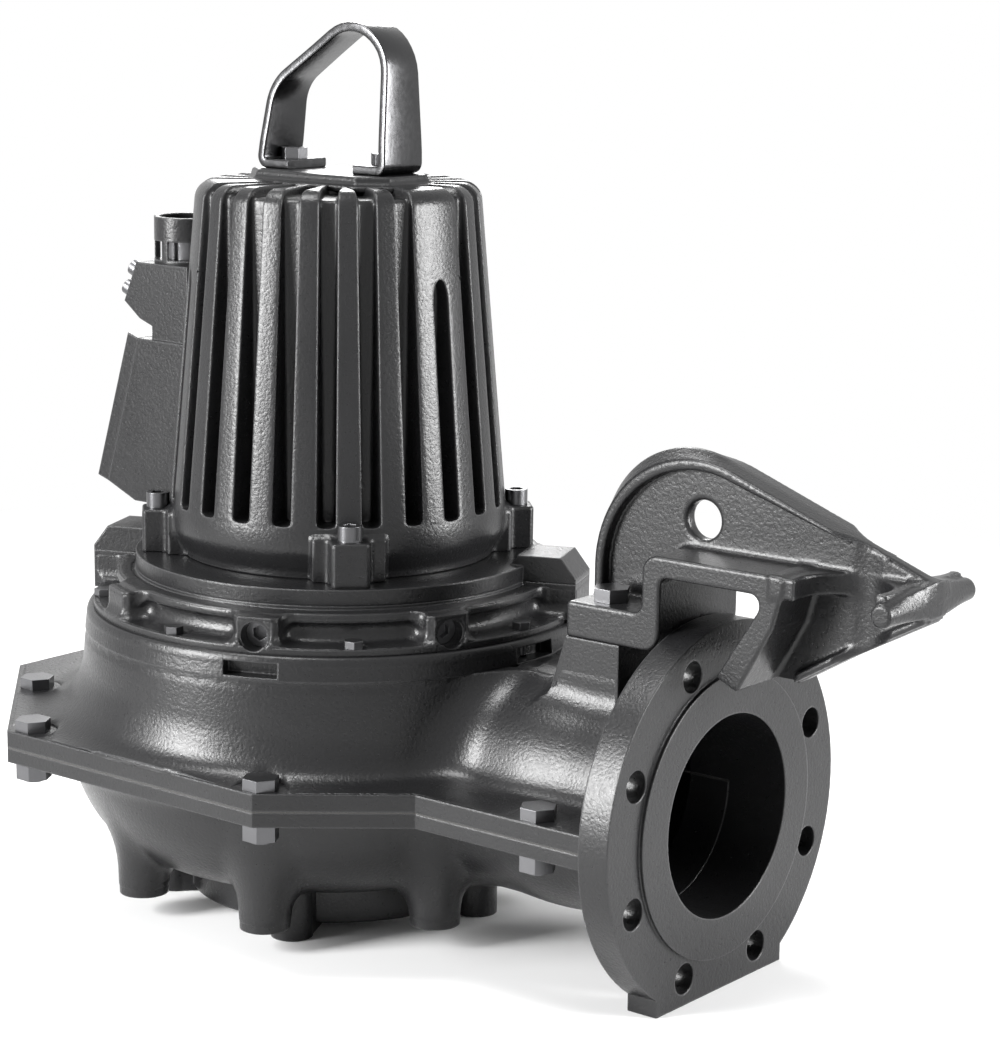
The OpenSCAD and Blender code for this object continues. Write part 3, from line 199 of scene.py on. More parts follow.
# %% Lamps
def soft_box(name, place, aim, size, power):
    """A rectangular area lamp at a place, turned to face a point."""
    data = bpy.data.lights.new(name, "AREA")
    data.shape, data.size, data.size_y, data.energy = "RECTANGLE", *size, power
    lamp = bpy.data.objects.new(name, data)
    bpy.context.scene.collection.objects.link(lamp)
    lamp.location = place
    lamp.rotation_euler = (Vector(aim) - Vector(place)).to_track_quat("-Z", "Y").to_euler()


soft_box("left box", (-1.05, -2.4, 1.0), (0, 0, 0.35), (0.9, 1.5), 210)
soft_box("right box", (2.5, 1.1, 0.85), (0.1, 0, 0.3), (1.0, 1.4), 170)
soft_box("top box", (-0.5, -0.7, 2.9), (0, 0, 0.2), (1.2, 0.7), 70)
soft_box("rim box", (-1.6, 1.9, 1.7), (0, 0, 0.4), (0.8, 1.2), 40)
bpy.context.scene.view_settings.view_transform = "Standard"

# %% [markdown]
# ## Paint and metal
# A material is a small graph. Here each one begins the same way: object coordinates feed
# a coarse noise for slow changes of colour and a fine noise for the grain. The Bevel
# node asks the geometry for a rounded normal near an edge, which makes a sharp solid
# look cast. Where that rounded normal differs from the true one, an edge is near, and
# the colour there can be made lighter: a painted highlight along the edges, standing in
# for light that glints on them.

# %% Node helpers
def node_of(tree, kind, **values):
    """A new node; each value goes to its input of that name, or else to its property."""
    made = tree.nodes.new(kind)
    for key, value in values.items():
        if key in made.inputs:
            made.inputs[key].default_value = value
        else:
            setattr(made, key, value)
    return made


def noise(tree, scale):
    """Noise with about scale lumps to a metre, fixed to the piece by its object coordinates."""
    place = node_of(tree, "ShaderNodeTexCoord")
    made = node_of(tree, "ShaderNodeTexNoise", Scale=scale, Detail=4.0)
    tree.links.new(place.outputs["Object"], made.inputs["Vector"])
    return made.outputs["Fac"]


def edge_mask(tree, rounded):
    """0 on a flat face, rising to 1 where the rounded normal leaves the true one. Their dot
    product is 1 on a flat face and falls to 0.85 where they stand about 32 degrees apart."""
    true = node_of(tree, "ShaderNodeNewGeometry")
    dot = node_of(tree, "ShaderNodeVectorMath", operation="DOT_PRODUCT")
    tree.links.new(rounded, dot.inputs[0])
    tree.links.new(true.outputs["True Normal"], dot.inputs[1])
    mask = node_of(tree, "ShaderNodeMapRange")
    mask.inputs["From Min"].default_value = 0.995
    mask.inputs["From Max"].default_value = 0.85
    tree.links.new(dot.outputs["Value"], mask.inputs["Value"])
    return mask.outputs[0]


# %% [markdown]
# ## One recipe for every finish
# Paint on a casting and dulled steel differ in their numbers more than in their kind. So
# one function builds them all: slow noise mixes two colours, fine noise sets the gloss
# and raises the grain, and the rounded normal softens the edges and can mark them for a
# painted highlight.

# %% Finish recipe
SLOW_SCALE, GRAIN_HEIGHT = 14.0, 0.0006


def cast_finish(name, dark, light, rough, grain, bevel, metallic=0.0, edge_highlight=0.0,
        highlight_colour=(0.1, 0.1, 0.1), gloss=0.5, relief=0.15):
    """A finish with grain: colour between dark and light by the slow noise, roughness between
    two values and bump by the fine noise, and edges that are rounded, with a painted
    highlight of lighter colour along them where asked."""
    material = bpy.data.materials.new(name)
    material.use_nodes = True
    tree = material.node_tree
    shader = tree.nodes["Principled BSDF"]
    shader.inputs["Metallic"].default_value = metallic
    shader.inputs["Specular IOR Level"].default_value = gloss
    slow, fine = noise(tree, SLOW_SCALE), noise(tree, grain)
    mix = node_of(tree, "ShaderNodeMix", data_type="RGBA")
    mix.inputs["A"].default_value, mix.inputs["B"].default_value = (*dark, 1), (*light, 1)
    tree.links.new(slow, mix.inputs["Factor"])
    colour = mix.outputs["Result"]
    round_edge = node_of(tree, "ShaderNodeBevel", samples=6, Radius=bevel)
    normal = round_edge.outputs["Normal"]
    # Painted highlight: near every edge the colour is mixed towards a lighter one, standing in for
    # light that glints on the edge.
    if edge_highlight:
        mask = edge_mask(tree, normal)
        highlight_share = node_of(tree, "ShaderNodeMath", operation="MULTIPLY")
        highlight_share.inputs[1].default_value = edge_highlight
        tree.links.new(mask, highlight_share.inputs[0])
        highlight_mix = node_of(tree, "ShaderNodeMix", data_type="RGBA")
        highlight_mix.inputs["B"].default_value = (*highlight_colour, 1)
        tree.links.new(highlight_share.outputs[0], highlight_mix.inputs["Factor"])
        tree.links.new(colour, highlight_mix.inputs["A"])
        colour = highlight_mix.outputs["Result"]
    tree.links.new(colour, shader.inputs["Base Color"])
    polish = node_of(tree, "ShaderNodeMapRange")
    polish.inputs["To Min"].default_value, polish.inputs["To Max"].default_value = rough
    tree.links.new(fine, polish.inputs["Value"])
    tree.links.new(polish.outputs[0], shader.inputs["Roughness"])
    bump = node_of(tree, "ShaderNodeBump", Strength=relief, Distance=GRAIN_HEIGHT)
    tree.links.new(fine, bump.inputs["Height"])
    tree.links.new(normal, bump.inputs["Normal"])
    tree.links.new(bump.outputs["Normal"], shader.inputs["Normal"])
    return material


# %% [markdown]
# ## The pump's finishes
# The castings wear a gloss paint that is nearly black, thin enough for the grain of the
# sand to show. The screws are dulled steel and the bail is dark rolled steel. Each finish
# is a line of numbers: two colours, two roughnesses, how fine the grain is and how far
# the edges are rounded, in metres. The parts inside get theirs too, for anyone who takes
# a casing off. The last lines put each finish on the nodes whose record asks for it.

# %% Finishes of the pump
finishes = {
    # The lighter edge colour of the castings is a painted highlight.
    "black_casting": cast_finish("gloss black casting", (0.004, 0.004, 0.0045), (0.012, 0.012, 0.0125),
        (0.20, 0.42), 420, 0.0022, edge_highlight=0.5, highlight_colour=(0.07, 0.07, 0.072), gloss=0.32, relief=0.5),
    "bolt_steel": cast_finish("dulled bolt steel", (0.07, 0.07, 0.073), (0.15, 0.15, 0.155),
        (0.25, 0.42), 900, 0.0006, metallic=1.0),
    "bail_steel": cast_finish("dark rolled steel", (0.035, 0.035, 0.036), (0.08, 0.08, 0.082),
        (0.16, 0.30), 260, 0.0010, metallic=1.0),
    "bearing_steel": cast_finish("ground bearing steel", (0.55, 0.55, 0.57), (0.66, 0.66, 0.68),
        (0.08, 0.16), 1500, 0.0004, metallic=1.0),
    "rubber": cast_finish("seal rubber", (0.018, 0.018, 0.018), (0.035, 0.035, 0.035),
        (0.55, 0.75), 700, 0.0008),
    "gasket_fibre": cast_finish("gasket fibre", (0.016, 0.016, 0.015), (0.04, 0.038, 0.036),
        (0.7, 0.9), 1200, 0.0003),
    "terminal_plastic": cast_finish("terminal moulding", (0.16, 0.09, 0.05), (0.24, 0.13, 0.08),
        (0.35, 0.5), 800, 0.0005),
    "core_steel": cast_finish("core sheet steel", (0.30, 0.30, 0.31), (0.42, 0.42, 0.43),
        (0.3, 0.5), 2000, 0.0003, metallic=1.0),
    "winding_copper": cast_finish("varnished copper", (0.42, 0.16, 0.07), (0.62, 0.28, 0.12),
        (0.22, 0.36), 1600, 0.0005, metallic=1.0),
    "end_ring_aluminium": cast_finish("cast aluminium", (0.55, 0.56, 0.58), (0.68, 0.69, 0.71),
        (0.3, 0.5), 600, 0.0006, metallic=1.0),
    "shaft_steel": cast_finish("turned shaft steel", (0.42, 0.42, 0.44), (0.54, 0.54, 0.56),
        (0.12, 0.25), 1400, 0.0005, metallic=1.0),
    "impeller_iron": cast_finish("bare impeller iron", (0.06, 0.06, 0.06), (0.13, 0.125, 0.12),
        (0.4, 0.6), 500, 0.0015, metallic=0.7, relief=0.4),
    "seal_face": cast_finish("lapped seal face", (0.05, 0.05, 0.055), (0.09, 0.09, 0.095),
        (0.1, 0.2), 900, 0.0003),
}

for entry in frame["record"]["subparts"]:
    for place in nodes[entry["node"]].material_slots:
        place.material = finishes[entry["material_slot"]]
print("finishes", len(finishes))

# %% [markdown]
# ## From a grid of numbers to a mesh
# Most new pieces here are one of two kinds. A turned or ribbed piece is a grid of points:
# one direction runs round the axis, the other along a profile. A cast piece is a field: a
# function that says how far each point in space is outside the metal, with soft blends
# where two forms meet. Both are worked out as whole numpy arrays.

# %% Grid pieces
def grid_quads(rows, columns):
    """Quads between neighbouring points of a grid whose columns close into a ring: point
    (i, j) has the number i * columns + j."""
    i, j = np.meshgrid(np.arange(rows - 1), np.arange(columns), indexing="ij")
    here, above, after = i * columns, (i + 1) * columns, (j + 1) % columns
    return np.stack([here + j, above + j, above + after, here + after], -1).reshape(-1, 4)


def mesh_from(name, points_mm, faces, sharp):
    """A mesh in metres from points in millimetres, doubles merged, faces turned outwards.
    Quads without area, where a row meets the axis, are left out. Edges that turn more
    than sharp degrees stay sharp."""
    points = np.reshape(points_mm, (-1, 3)) / 1000
    corners = points[faces]
    cross = np.cross(corners[:, 2] - corners[:, 0], corners[:, 3] - corners[:, 1])
    area = np.linalg.norm(cross, axis=1)
    mesh = bpy.data.meshes.new(name)
    mesh.from_pydata(points.tolist(), [], faces[area > 1e-11].tolist())
    work = bmesh.new()
    work.from_mesh(mesh)
    bmesh.ops.remove_doubles(work, verts=work.verts, dist=2e-6)
    bmesh.ops.dissolve_degenerate(work, edges=work.edges, dist=1e-6)
    bmesh.ops.recalc_face_normals(work, faces=work.faces)
    work.to_mesh(mesh)
    work.free()
    mesh.polygons.foreach_set("use_smooth", np.ones(len(mesh.polygons), bool))
    mesh.set_sharp_from_angle(angle=math.radians(sharp))
    return mesh


def set_piece(name, mesh, slot, replaced=(), body="pump"):
    """Links a finished mesh, gives it its finish and lets it ride on its body."""
    piece = link_object(name, mesh)
    mesh.materials.append(finishes[slot])
    if replaced:
        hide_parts(*replaced)
    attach(piece, body)
    print(name, len(mesh.polygons), "faces")


print("quads of a grid of 3 rings with 4 points each:", len(grid_quads(3, 4)))

# %% [markdown]
# ## The rows of the motor housing
# The real housing is one casting: a short skirt, then a cone cut by 24 deep grooves whose
# walls lean a little so that the pattern can be drawn out, with rounded lips. Each groove
# runs up the cone and in over the crown, narrowing towards the middle. Cutting grooves
# out of a cone leaves hard lips, so a grid follows the form instead. Its rows go along
# the profile, and each row has a point on the land and one on the groove's floor.

# %% Rows of the housing
DECK, CROWN = 276.0, 562.0
GROOVES, FLOOR_R, GROOVE_FOOT = 24, 104.0, 316.0
SHORT_GROOVES, SHORT_TOP = (7, 15, 23), 496.0


def housing_rows():
    """Each row as land (r, z), floor (r, z), groove width 0 to 1 and depth 0 or 1, from the
    foot to the middle. A floor of (0, 0) stands for the straight floor behind the cone."""
    skirt = [(118, DECK), (121, DECK), (122, DECK + 1), (122, DECK + 4), (124.2, DECK + 8.5),
        (128.6, DECK + 16), (130.4, DECK + 20), (131, DECK + 24), (131, DECK + 33)]
    plain = [(r, z, r, z, 1, 0) for r, z in skirt]
    cone = lambda z: 131 - (z - DECK - 34) * 21 / (CROWN - 49 - DECK)
    foot = [(cone(GROOVE_FOOT - 1.5), GROOVE_FOOT - 1.5, 0, 0, 1, 0),
        (cone(GROOVE_FOOT), GROOVE_FOOT, 0, 0, 0, 0), (cone(GROOVE_FOOT), GROOVE_FOOT, 0, 0, 0, 1)]
    for rise in (0.25, 0.7, 1.4, 2.4, 3.6, 5.0):
        width = (1 - ((5 - rise) / 5) ** 3) ** (1 / 3)
        foot.append((cone(GROOVE_FOOT + rise), GROOVE_FOOT + rise, 0, 0, width, 1))
    heights = np.r_[np.arange(334, 478, 16), 480, 484, 487, 490, 492.5, 494.5, 495.7,
        SHORT_TOP, SHORT_TOP, SHORT_TOP + 1.5, np.arange(506, 546, 10), 547]
    side = [(cone(z), z, 0, 0, 1, 1) for z in heights]
    edge = [(95 + 15 * math.cos(t), 547 + 15 * math.sin(t),
        100 + 4 * math.cos(t), 551 + 4 * math.sin(t), 1, 1)
        for t in np.radians(np.arange(11.25, 91, 11.25))]
    crown = [(r, CROWN, r, 555, 1, 1) for r in (88, 80, 72, 65, 58, 52)]
    middle = [(51, CROWN, 51, CROWN, 0, 0), (49, CROWN, 49, CROWN, 1, 0), (0, CROWN, 0, CROWN, 1, 0)]
    rows = np.array(plain + foot + side + edge + crown + middle, float)
    on_cone = (rows[:, 2] == 0) & (rows[:, 0] > 0)
    rows[on_cone, 2], rows[on_cone, 3] = FLOOR_R, rows[on_cone, 1]
    return rows


rows = housing_rows()
print("rows", len(rows), "from z", rows[0, 1], "to z", rows[-1, 1])

# %% [markdown]
# ## The ribs
# Columns go round, and each says how far sideways it stands from the middle of its groove
# and what share of the depth it has. Closely set columns near the lip draw its rounding.
# Three of the grooves end short of the crown, so their width closes in a half circle.

# %% Ribs of the housing
LIP, PITCH = 8.6, 360 / GROOVES


def ribbed_housing(rows):
    """Outside of the housing. A column at sideways distance y and share f of the depth
    stands at floor + f * (land - floor) along its groove's own radius. Half a groove is
    LIP mm wide, but never more than 6.6 degrees. Land columns turn with the axis."""
    land_r, land_z, floor_r, floor_z, width, deep = rows.T[:, :, None]
    y = np.array([0, 2.6, 4.4, 5.4, 6.0, 6.5, 7.0, 7.5, LIP])
    f = np.array([0, 0, 0.02, 0.07, 0.20, 0.60, 0.90, 0.985, 1.0])
    y, f = np.r_[-y[:0:-1], y], np.r_[f[:0:-1], f]
    fit = np.minimum(1, land_r * math.sin(math.radians(6.6)) / LIP)
    safe_r = np.maximum(land_r, 1e-6)
    blocks = []
    for k in range(GROOVES):
        w, d = width, deep
        if k in SHORT_GROOVES:
            above = land_z > SHORT_TOP - 0.01
            reach = np.clip((SHORT_TOP - land_z) / 16, 0, 1)
            w = np.where(land_z > 479, np.sqrt(np.clip(1 - (1 - reach) ** 2, 0, 1)), w)
            w, d = np.where(land_z > SHORT_TOP + 0.5, 1, w), np.where(above, 0, d)
            first = np.argmax(above)
            d[first] = 1
        side = y * w * fit
        share = np.where(d > 0, f, 1.0)
        land_x = np.sqrt(np.maximum(land_r ** 2 - side ** 2, 1e-6))
        x = np.where(d > 0, floor_r + share * (land_x - floor_r), land_x)
        z = np.where(d > 0, floor_z + share * (land_z - floor_z), land_z)
        turn = math.radians(PITCH / 2 + k * PITCH)
        c, s = math.cos(turn), math.sin(turn)
        near = np.stack([x * c - side * s, x * s + side * c, z], -1)
        lip = np.arcsin(np.clip(LIP * w * fit / safe_r, 0, 0.9))
        a = turn + lip + (math.radians(PITCH) - 2 * lip) * np.array([0.2, 0.5, 0.8])
        land = np.stack([land_r * np.cos(a), land_r * np.sin(a), land_z + 0 * a], -1)
        blocks += [near, land]
    return np.concatenate(blocks, 1)


outside = ribbed_housing(rows)
print("ribs", GROOVES, "points", outside.shape[:2])

# %% [markdown]
# ## The housing as one closed shell
# A casting has an inside. The bore for the motor's core, the roof and the boss of the
# upper bearing are plain rings with as many points as the outside has, so that inside
# and outside are sewn into one closed surface at the foot.

# %% Housing
def housing_inside(columns):
    """The bore, the bearing's boss and the roof, as plain rings from the foot up to the axis."""
    profile = [(92.3, DECK), (92.3, 484), (88, 484.5), (78.2, 544), (42, 544), (42, 518),
        (31.1, 518), (31.1, 544), (0, 544)]
    a = np.linspace(0, 2 * np.pi, columns, endpoint=False) + math.radians(PITCH / 2 - 4.0)
    r, z = np.array(profile).T[:, :, None]
    return np.stack([r * np.cos(a), r * np.sin(a), z + 0 * a], -1)


shell = np.concatenate([housing_inside(outside.shape[1])[::-1], outside], 0)
mesh = mesh_from("motor_housing_casting", shell, grid_quads(*shell.shape[:2]), 34)
set_piece("motor_housing_casting", mesh, "black_casting", ["motor_housing"])

# %% [markdown]
# ## Cast bodies from a field
# Sand castings have no sharp inner corners: every foot flows into its wall with a fillet.
# A field gives such fillets for nothing. Each form is a distance, positive outside and
# negative inside. The smaller of two distances joins two forms, and a soft minimum joins
# them with a fillet. The larger one keeps only what both forms share, and so cuts.

# %% Field helpers
def soft_min(a, b, blend):
    """The smaller of a and b, lowered near their meeting by blend * h^2 / 4."""
    h = np.maximum(blend - np.abs(a - b), 0) / blend
    return np.minimum(a, b) - h * h * blend / 4


def soft_max(a, b, blend):
    """The larger of a and b, raised near their meeting: a soft minimum turned over."""
    return -soft_min(-a, -b, blend)


def polygon_field(u, v, corners):
    """Distance to a closed outline in a plane, negative inside: the least distance to its
    sides, with the sign from how often a ray to the right crosses them."""
    corners = np.asarray(corners, float)
    best, inside = np.full(u.shape, 1e9), np.zeros(u.shape, bool)
    for (ax, ay), (bx, by) in zip(corners, np.roll(corners, -1, 0)):
        ex, ey = bx - ax, by - ay
        t = np.clip(((u - ax) * ex + (v - ay) * ey) / (ex * ex + ey * ey), 0, 1)
        best = np.minimum(best, np.hypot(u - ax - t * ex, v - ay - t * ey))
        crosses = (ay > v) != (by > v)
        side = ax + (v - ay) * ex / (ey if ey else 1e-9)
        inside ^= crosses & (u < side)
    return np.where(inside, -best, best)


def bar_field(p, start, end, radius_a, radius_b):
    """Distance to a round bar between two points, its radius changing evenly along it."""
    start, end = np.array(start, float), np.array(end, float)
    along = end - start
    t = np.clip(((p - start) @ along) / (along @ along), 0, 1)
    away = np.linalg.norm(p - start - t[..., None] * along, axis=-1)
    return away - (radius_a + t * (radius_b - radius_a))


def rounded_block(flat, across, edge):
    """Where two fields are both negative, with a round edge of the given radius."""
    a, b = flat + edge, across + edge
    return np.hypot(np.maximum(a, 0), np.maximum(b, 0)) + np.minimum(np.maximum(a, b), 0) - edge


print("two equal distances joined with a blend of 8 mm:", soft_min(0.0, 0.0, 8))

# %% [markdown]
# ## From a field to a net
# The mesh is read off a grid of cells. Every cell that the surface passes through gets
# one point, at the mean of the crossings on its edges, and each grid edge that crosses
# the surface gets one quad between the four cells round it. The points then slide along
# the field's slope until they lie on the surface, and the slope gives the normals, so
# that gloss paint shows no trace of the grid.

# %% Net of a field
CELL_EDGES = [(a, b) for a in np.ndindex(2, 2, 2) for b in np.ndindex(2, 2, 2)
    if sum(b) - sum(a) == 1 and all(q >= p for p, q in zip(a, b))]


def field_normal(field, points, reach=0.25):
    """Unit gradient of the field by central differences, and the distance left to go."""
    moves = np.eye(3) * reach
    slope = np.stack([field(points + d) - field(points - d) for d in moves], -1) / (2 * reach)
    length = np.maximum(np.linalg.norm(slope, axis=-1), 1e-6)
    return slope / length[:, None], field(points) / length


def net_mesh(field, low, high, step):
    """Points and quads of the field's zero surface on a grid, then moved onto it exactly."""
    axes = [np.arange(lo, hi + step, step) for lo, hi in zip(low, high)]
    grid = np.stack(np.meshgrid(*axes, indexing="ij"), -1)
    value = field(grid)
    sizes = np.array(value.shape) - 1
    corner = lambda c: value[c[0]:c[0] + sizes[0], c[1]:c[1] + sizes[1], c[2]:c[2] + sizes[2]]
    inside = sum((corner(c) < 0).astype(int) for c in np.ndindex(2, 2, 2))
    cells = np.argwhere((inside > 0) & (inside < 8))
    total, count = np.zeros((len(cells), 3)), np.zeros(len(cells))
    for a, b in CELL_EDGES:
        va, vb = value[tuple((cells + a).T)], value[tuple((cells + b).T)]
        cut = (va < 0) != (vb < 0)
        t = np.where(cut, va / np.where(cut, va - vb, 1), 0)
        total += cut[:, None] * (np.array(a) + t[:, None] * (np.array(b) - a))
        count += cut
    points = np.array(low) + step * (cells + total / count[:, None])
    number = np.full(sizes, -1)
    number[tuple(cells.T)] = np.arange(len(cells))
    quads = []
    for axis in range(3):
        u, w = [k for k in range(3) if k != axis]
        ends = [slice(None)] * 3, [slice(None)] * 3
        ends[0][axis], ends[1][axis] = slice(0, -1), slice(1, None)
        a, b = value[tuple(ends[0])], value[tuple(ends[1])]
        cut = np.argwhere((a < 0) != (b < 0))
        cut = cut[(cut[:, u] > 0) & (cut[:, w] > 0) & (cut[:, u] < sizes[u]) & (cut[:, w] < sizes[w])]
        step_u, step_w = np.eye(3, dtype=int)[u], np.eye(3, dtype=int)[w]
        around = [number[tuple((cut - s).T)] for s in (0 * step_u, step_u, step_u + step_w, step_w)]
        quad = np.stack(around, 1)
        turned_round = (a[tuple(cut.T)] < 0) == (axis == 1)
        quad[turned_round] = quad[turned_round, ::-1]
        quads.append(quad)
    for _ in range(3):
        normal, here = field_normal(field, points)
        points = points - np.clip(here, -step / 2, step / 2)[:, None] * normal
    return points, np.concatenate(quads), field_normal(field, points)[0]


def field_mesh(name, points, quads, normals):
    """A smooth mesh in metres whose shading normals come from the field itself."""
    mesh = bpy.data.meshes.new(name)
    mesh.from_pydata((points / 1000).tolist(), [], quads.tolist())
    mesh.polygons.foreach_set("use_smooth", np.ones(len(mesh.polygons), bool))
    mesh.normals_split_custom_set_from_vertices(normals.tolist())
    return mesh


def cast_mesh(name, field, low, high, step):
    """The surface of a field inside a box in millimetres, on a grid of the given step."""
    return field_mesh(name, *net_mesh(field, low, high, step))


print("edges of a cell", len(CELL_EDGES))

# %% [markdown]
# ## The spiral
# The casing is the form that gives this pump away. Seen from above, its outer wall winds
# clockwise from its tongue, and both its radius and the height of its roof grow evenly
# with the angle. Where it has nearly gone round it draws in again, hidden in the neck, so
# that the form has no step there.

# %% Measures of the casing
SPLIT, DRUM_R, BOLT_SEAT_R, SKIN_DEPTH = 131.0, 140, 17.5, 3.6
CORNERS = [(-293, -69), (-148, -216), (109, -216), (199, -141), (345, -141), (345, 141), (264, 141),
    (124, 284), (-130, 284), (-293, 121)]
BOLTS = [(-229, -110), (-135, -201), (104, -201), (298, -126), (298, 126), (196, 184.5), (98, 269),
    (-124, 269), (-228, 198), (-278, 30)]


def grown(angle, first, whole):
    """A first measure and, for a full turn clockwise from the tongue, a whole one more. The
    growth is taken back evenly over the last 40 degrees before 330."""
    turned = np.mod(-22 - np.degrees(angle), 360)
    return first + whole * turned / 360 * np.clip((330 - turned) / 40, 0, 1)


def reach(angle):
    """Radius of the spiral's outer wall."""
    return grown(angle, 194, 84)


def swelling(radius, height, wide, tall, thick):
    """Field of a ring whose section is a quarter ellipse, wide by tall, over a circle of
    radius DRUM_R: how far the point is outside the ellipse, as a share of its thickness."""
    u, v = np.maximum(radius - DRUM_R, 0) / wide, height / tall
    return (np.hypot(u, v) - 1) * thick * 0.9


print("spiral's radius every 90 degrees", reach(np.radians([-22, -112, -202, -292])))

# %% [markdown]
# ## What both halves of the casing share
# The casing is cast in two halves that meet at the split flange. Both have half of the
# discharge neck, both are cut out round the flange's bolts so that a spanner fits, and
# from both only the outer layer is kept: the solid already fills the rest.

# %% Parts of both halves
def discharge_neck(p):
    """A round neck that flares towards the flange, the throat that leads the spiral into it,
    and the flange's raised face, joined with soft minimums."""
    x, off_axis = p[..., 0], np.hypot(p[..., 1], p[..., 2] - SPLIT)
    neck_r = 90.3 + 15 * np.clip((x - 318) / 27, 0, 1) ** 2
    neck = np.maximum(off_axis - neck_r, 150 - x)
    throat = bar_field(p - (0, 0, SPLIT), (105, 118, 0), (250, 0, 0), 88.3, 89.5)
    face = np.maximum(344.7 - x, off_axis - 105)
    return soft_min(soft_min(neck, throat, 10), face, 16)


def cut_bolt_seats(body, x, y):
    """The body without an upright round column over each bolt of the split flange."""
    for bolt_x, bolt_y in BOLTS:
        body = soft_max(body, BOLT_SEAT_R - np.hypot(x - bolt_x, y - bolt_y), 5)
    return body


def outer_layer(body, depth):
    """What lies less than twice the depth below the body's surface."""
    return np.abs(body + depth) - depth


print("bolt seats", len(BOLTS))

# %% [markdown]
# ## The upper casing's skin
# The upper half is a low drum with the spiral swelling round it, and a tall block on the
# neck that carries the guide claw. The solid has the true shape in flat strips. This skin
# lies a third of a millimetre over it and adds the soft valley between drum and spiral
# and the fillets onto the split flange and the neck.

# %% Upper casing
CLAW_BLOCK = [(245, 60), (309.3, 60), (309.3, 123), (261.7, 123)]


def upper_casing_field(p):
    """Drum, swelling, neck, block and flange plate, joined one after the other. The drum
    leans in above 23 mm, and the drum's and block's top edges are drawn in by 0.9 mm."""
    x, y, h = p[..., 0], p[..., 1], p[..., 2] - SPLIT
    radius, angle = np.hypot(x, y), np.arctan2(y, x)
    drawn_in = np.clip((h - 76) / 10, 0, 1) * 0.9
    drum = radius - (202.35 - np.maximum(h - 23, 0) * 5.4 / 72 - drawn_in)
    wide, tall = reach(angle) - DRUM_R + 0.3, grown(angle, 46, 42)
    body = soft_min(drum, swelling(radius, h, wide, tall, np.minimum(wide, tall)), 16)
    body = soft_min(body, discharge_neck(p), 26)
    half_block = 50.3 - 0.9 * np.clip((h - 95) / 12, 0, 1)
    block = np.maximum(np.abs(y) - half_block, polygon_field(x, h, CLAW_BLOCK))
    body = soft_min(body, block, 12)
    plate = np.maximum(polygon_field(x, y, CORNERS) + 1.5, h - 13.25)
    body = cut_bolt_seats(soft_min(body, plate, 18), x, y)
    highest = np.where((np.abs(y) < 60) & (x > 235), 118, 86)
    keep = np.maximum.reduce([11.5 - h, h - highest, x - 345.2])
    return soft_max(outer_layer(body, SKIN_DEPTH), keep, 0.6)


mesh = cast_mesh("upper_casing_skin", upper_casing_field, (-300, -224, 136), (352, 292, 256), 3.6)
set_piece("upper_casing_skin", mesh, "black_casting")

# %% [markdown]
# ## The lower casing and its legs
# The same idea covers the bowl below the flange, which stands on eight round legs. Copies
# round the axis cost nothing in a field: the angle is folded into one sector first, and
# the leg is described there once.

# %% Lower casing
BOWL_DEPTH = 91.3


def sector(radius, angle):
    """Outward and sideways place in one of eight sectors, measured from its middle."""
    turn = np.mod(angle, math.pi / 4) - math.pi / 8
    return radius * np.cos(turn), radius * np.sin(turn)


def lower_casing_field(p):
    """Bowl and neck, cut flat below, then legs and flange plate. A leg grows by 2 mm from
    its foot up, and its last few millimetres are drawn in by 0.9 mm."""
    x, y, z = p[..., 0], p[..., 1], p[..., 2]
    h, radius, angle = SPLIT - z, np.hypot(x, y), np.arctan2(y, x)
    wide = reach(angle) - 148.7
    bowl = swelling(radius, h, wide, BOWL_DEPTH, np.minimum(wide, 91))
    body = soft_max(soft_min(bowl, discharge_neck(p), 26), h - BOWL_DEPTH, 3)
    out, aside = sector(radius, angle)
    leg_r = 19.3 + (z - 18) * 2 / 62 - 0.9 * np.clip((25 - z) / 4, 0, 1)
    leg = np.hypot(out - 166.7, aside) - leg_r
    body = soft_min(body, np.maximum(leg, z - 100), 14)
    plate = np.maximum(polygon_field(x, y, CORNERS) + 1.5, 118.75 - z)
    body = cut_bolt_seats(soft_min(body, plate, 14), x, y)
    keep = np.maximum.reduce([z - 123.4, 21.5 - z, 119 - radius, x - 345.2])
    return soft_max(outer_layer(body, SKIN_DEPTH), keep, 0.6)


mesh = cast_mesh("lower_casing_skin", lower_casing_field, (-300, -224, 16), (352, 292, 126), 3.6)
set_piece("lower_casing_skin", mesh, "black_casting")

# %% [markdown]
# ## The seal housing
# Above the casing sits the oil room of the shaft's seals: a plain drum with a band round
# its rim, eight radial bosses, and two tall blocks that face each other. The screws of its
# foot flange stand between the bosses, and the two oil screws go in at the side. Drum and
# bosses run into each other with a wide fillet, which the field gives to all eight at once.

# %% Seal housing
BOSS = [(148, -20), (183, -17), (187, -13), (187, 13), (183, 17), (148, 20)]


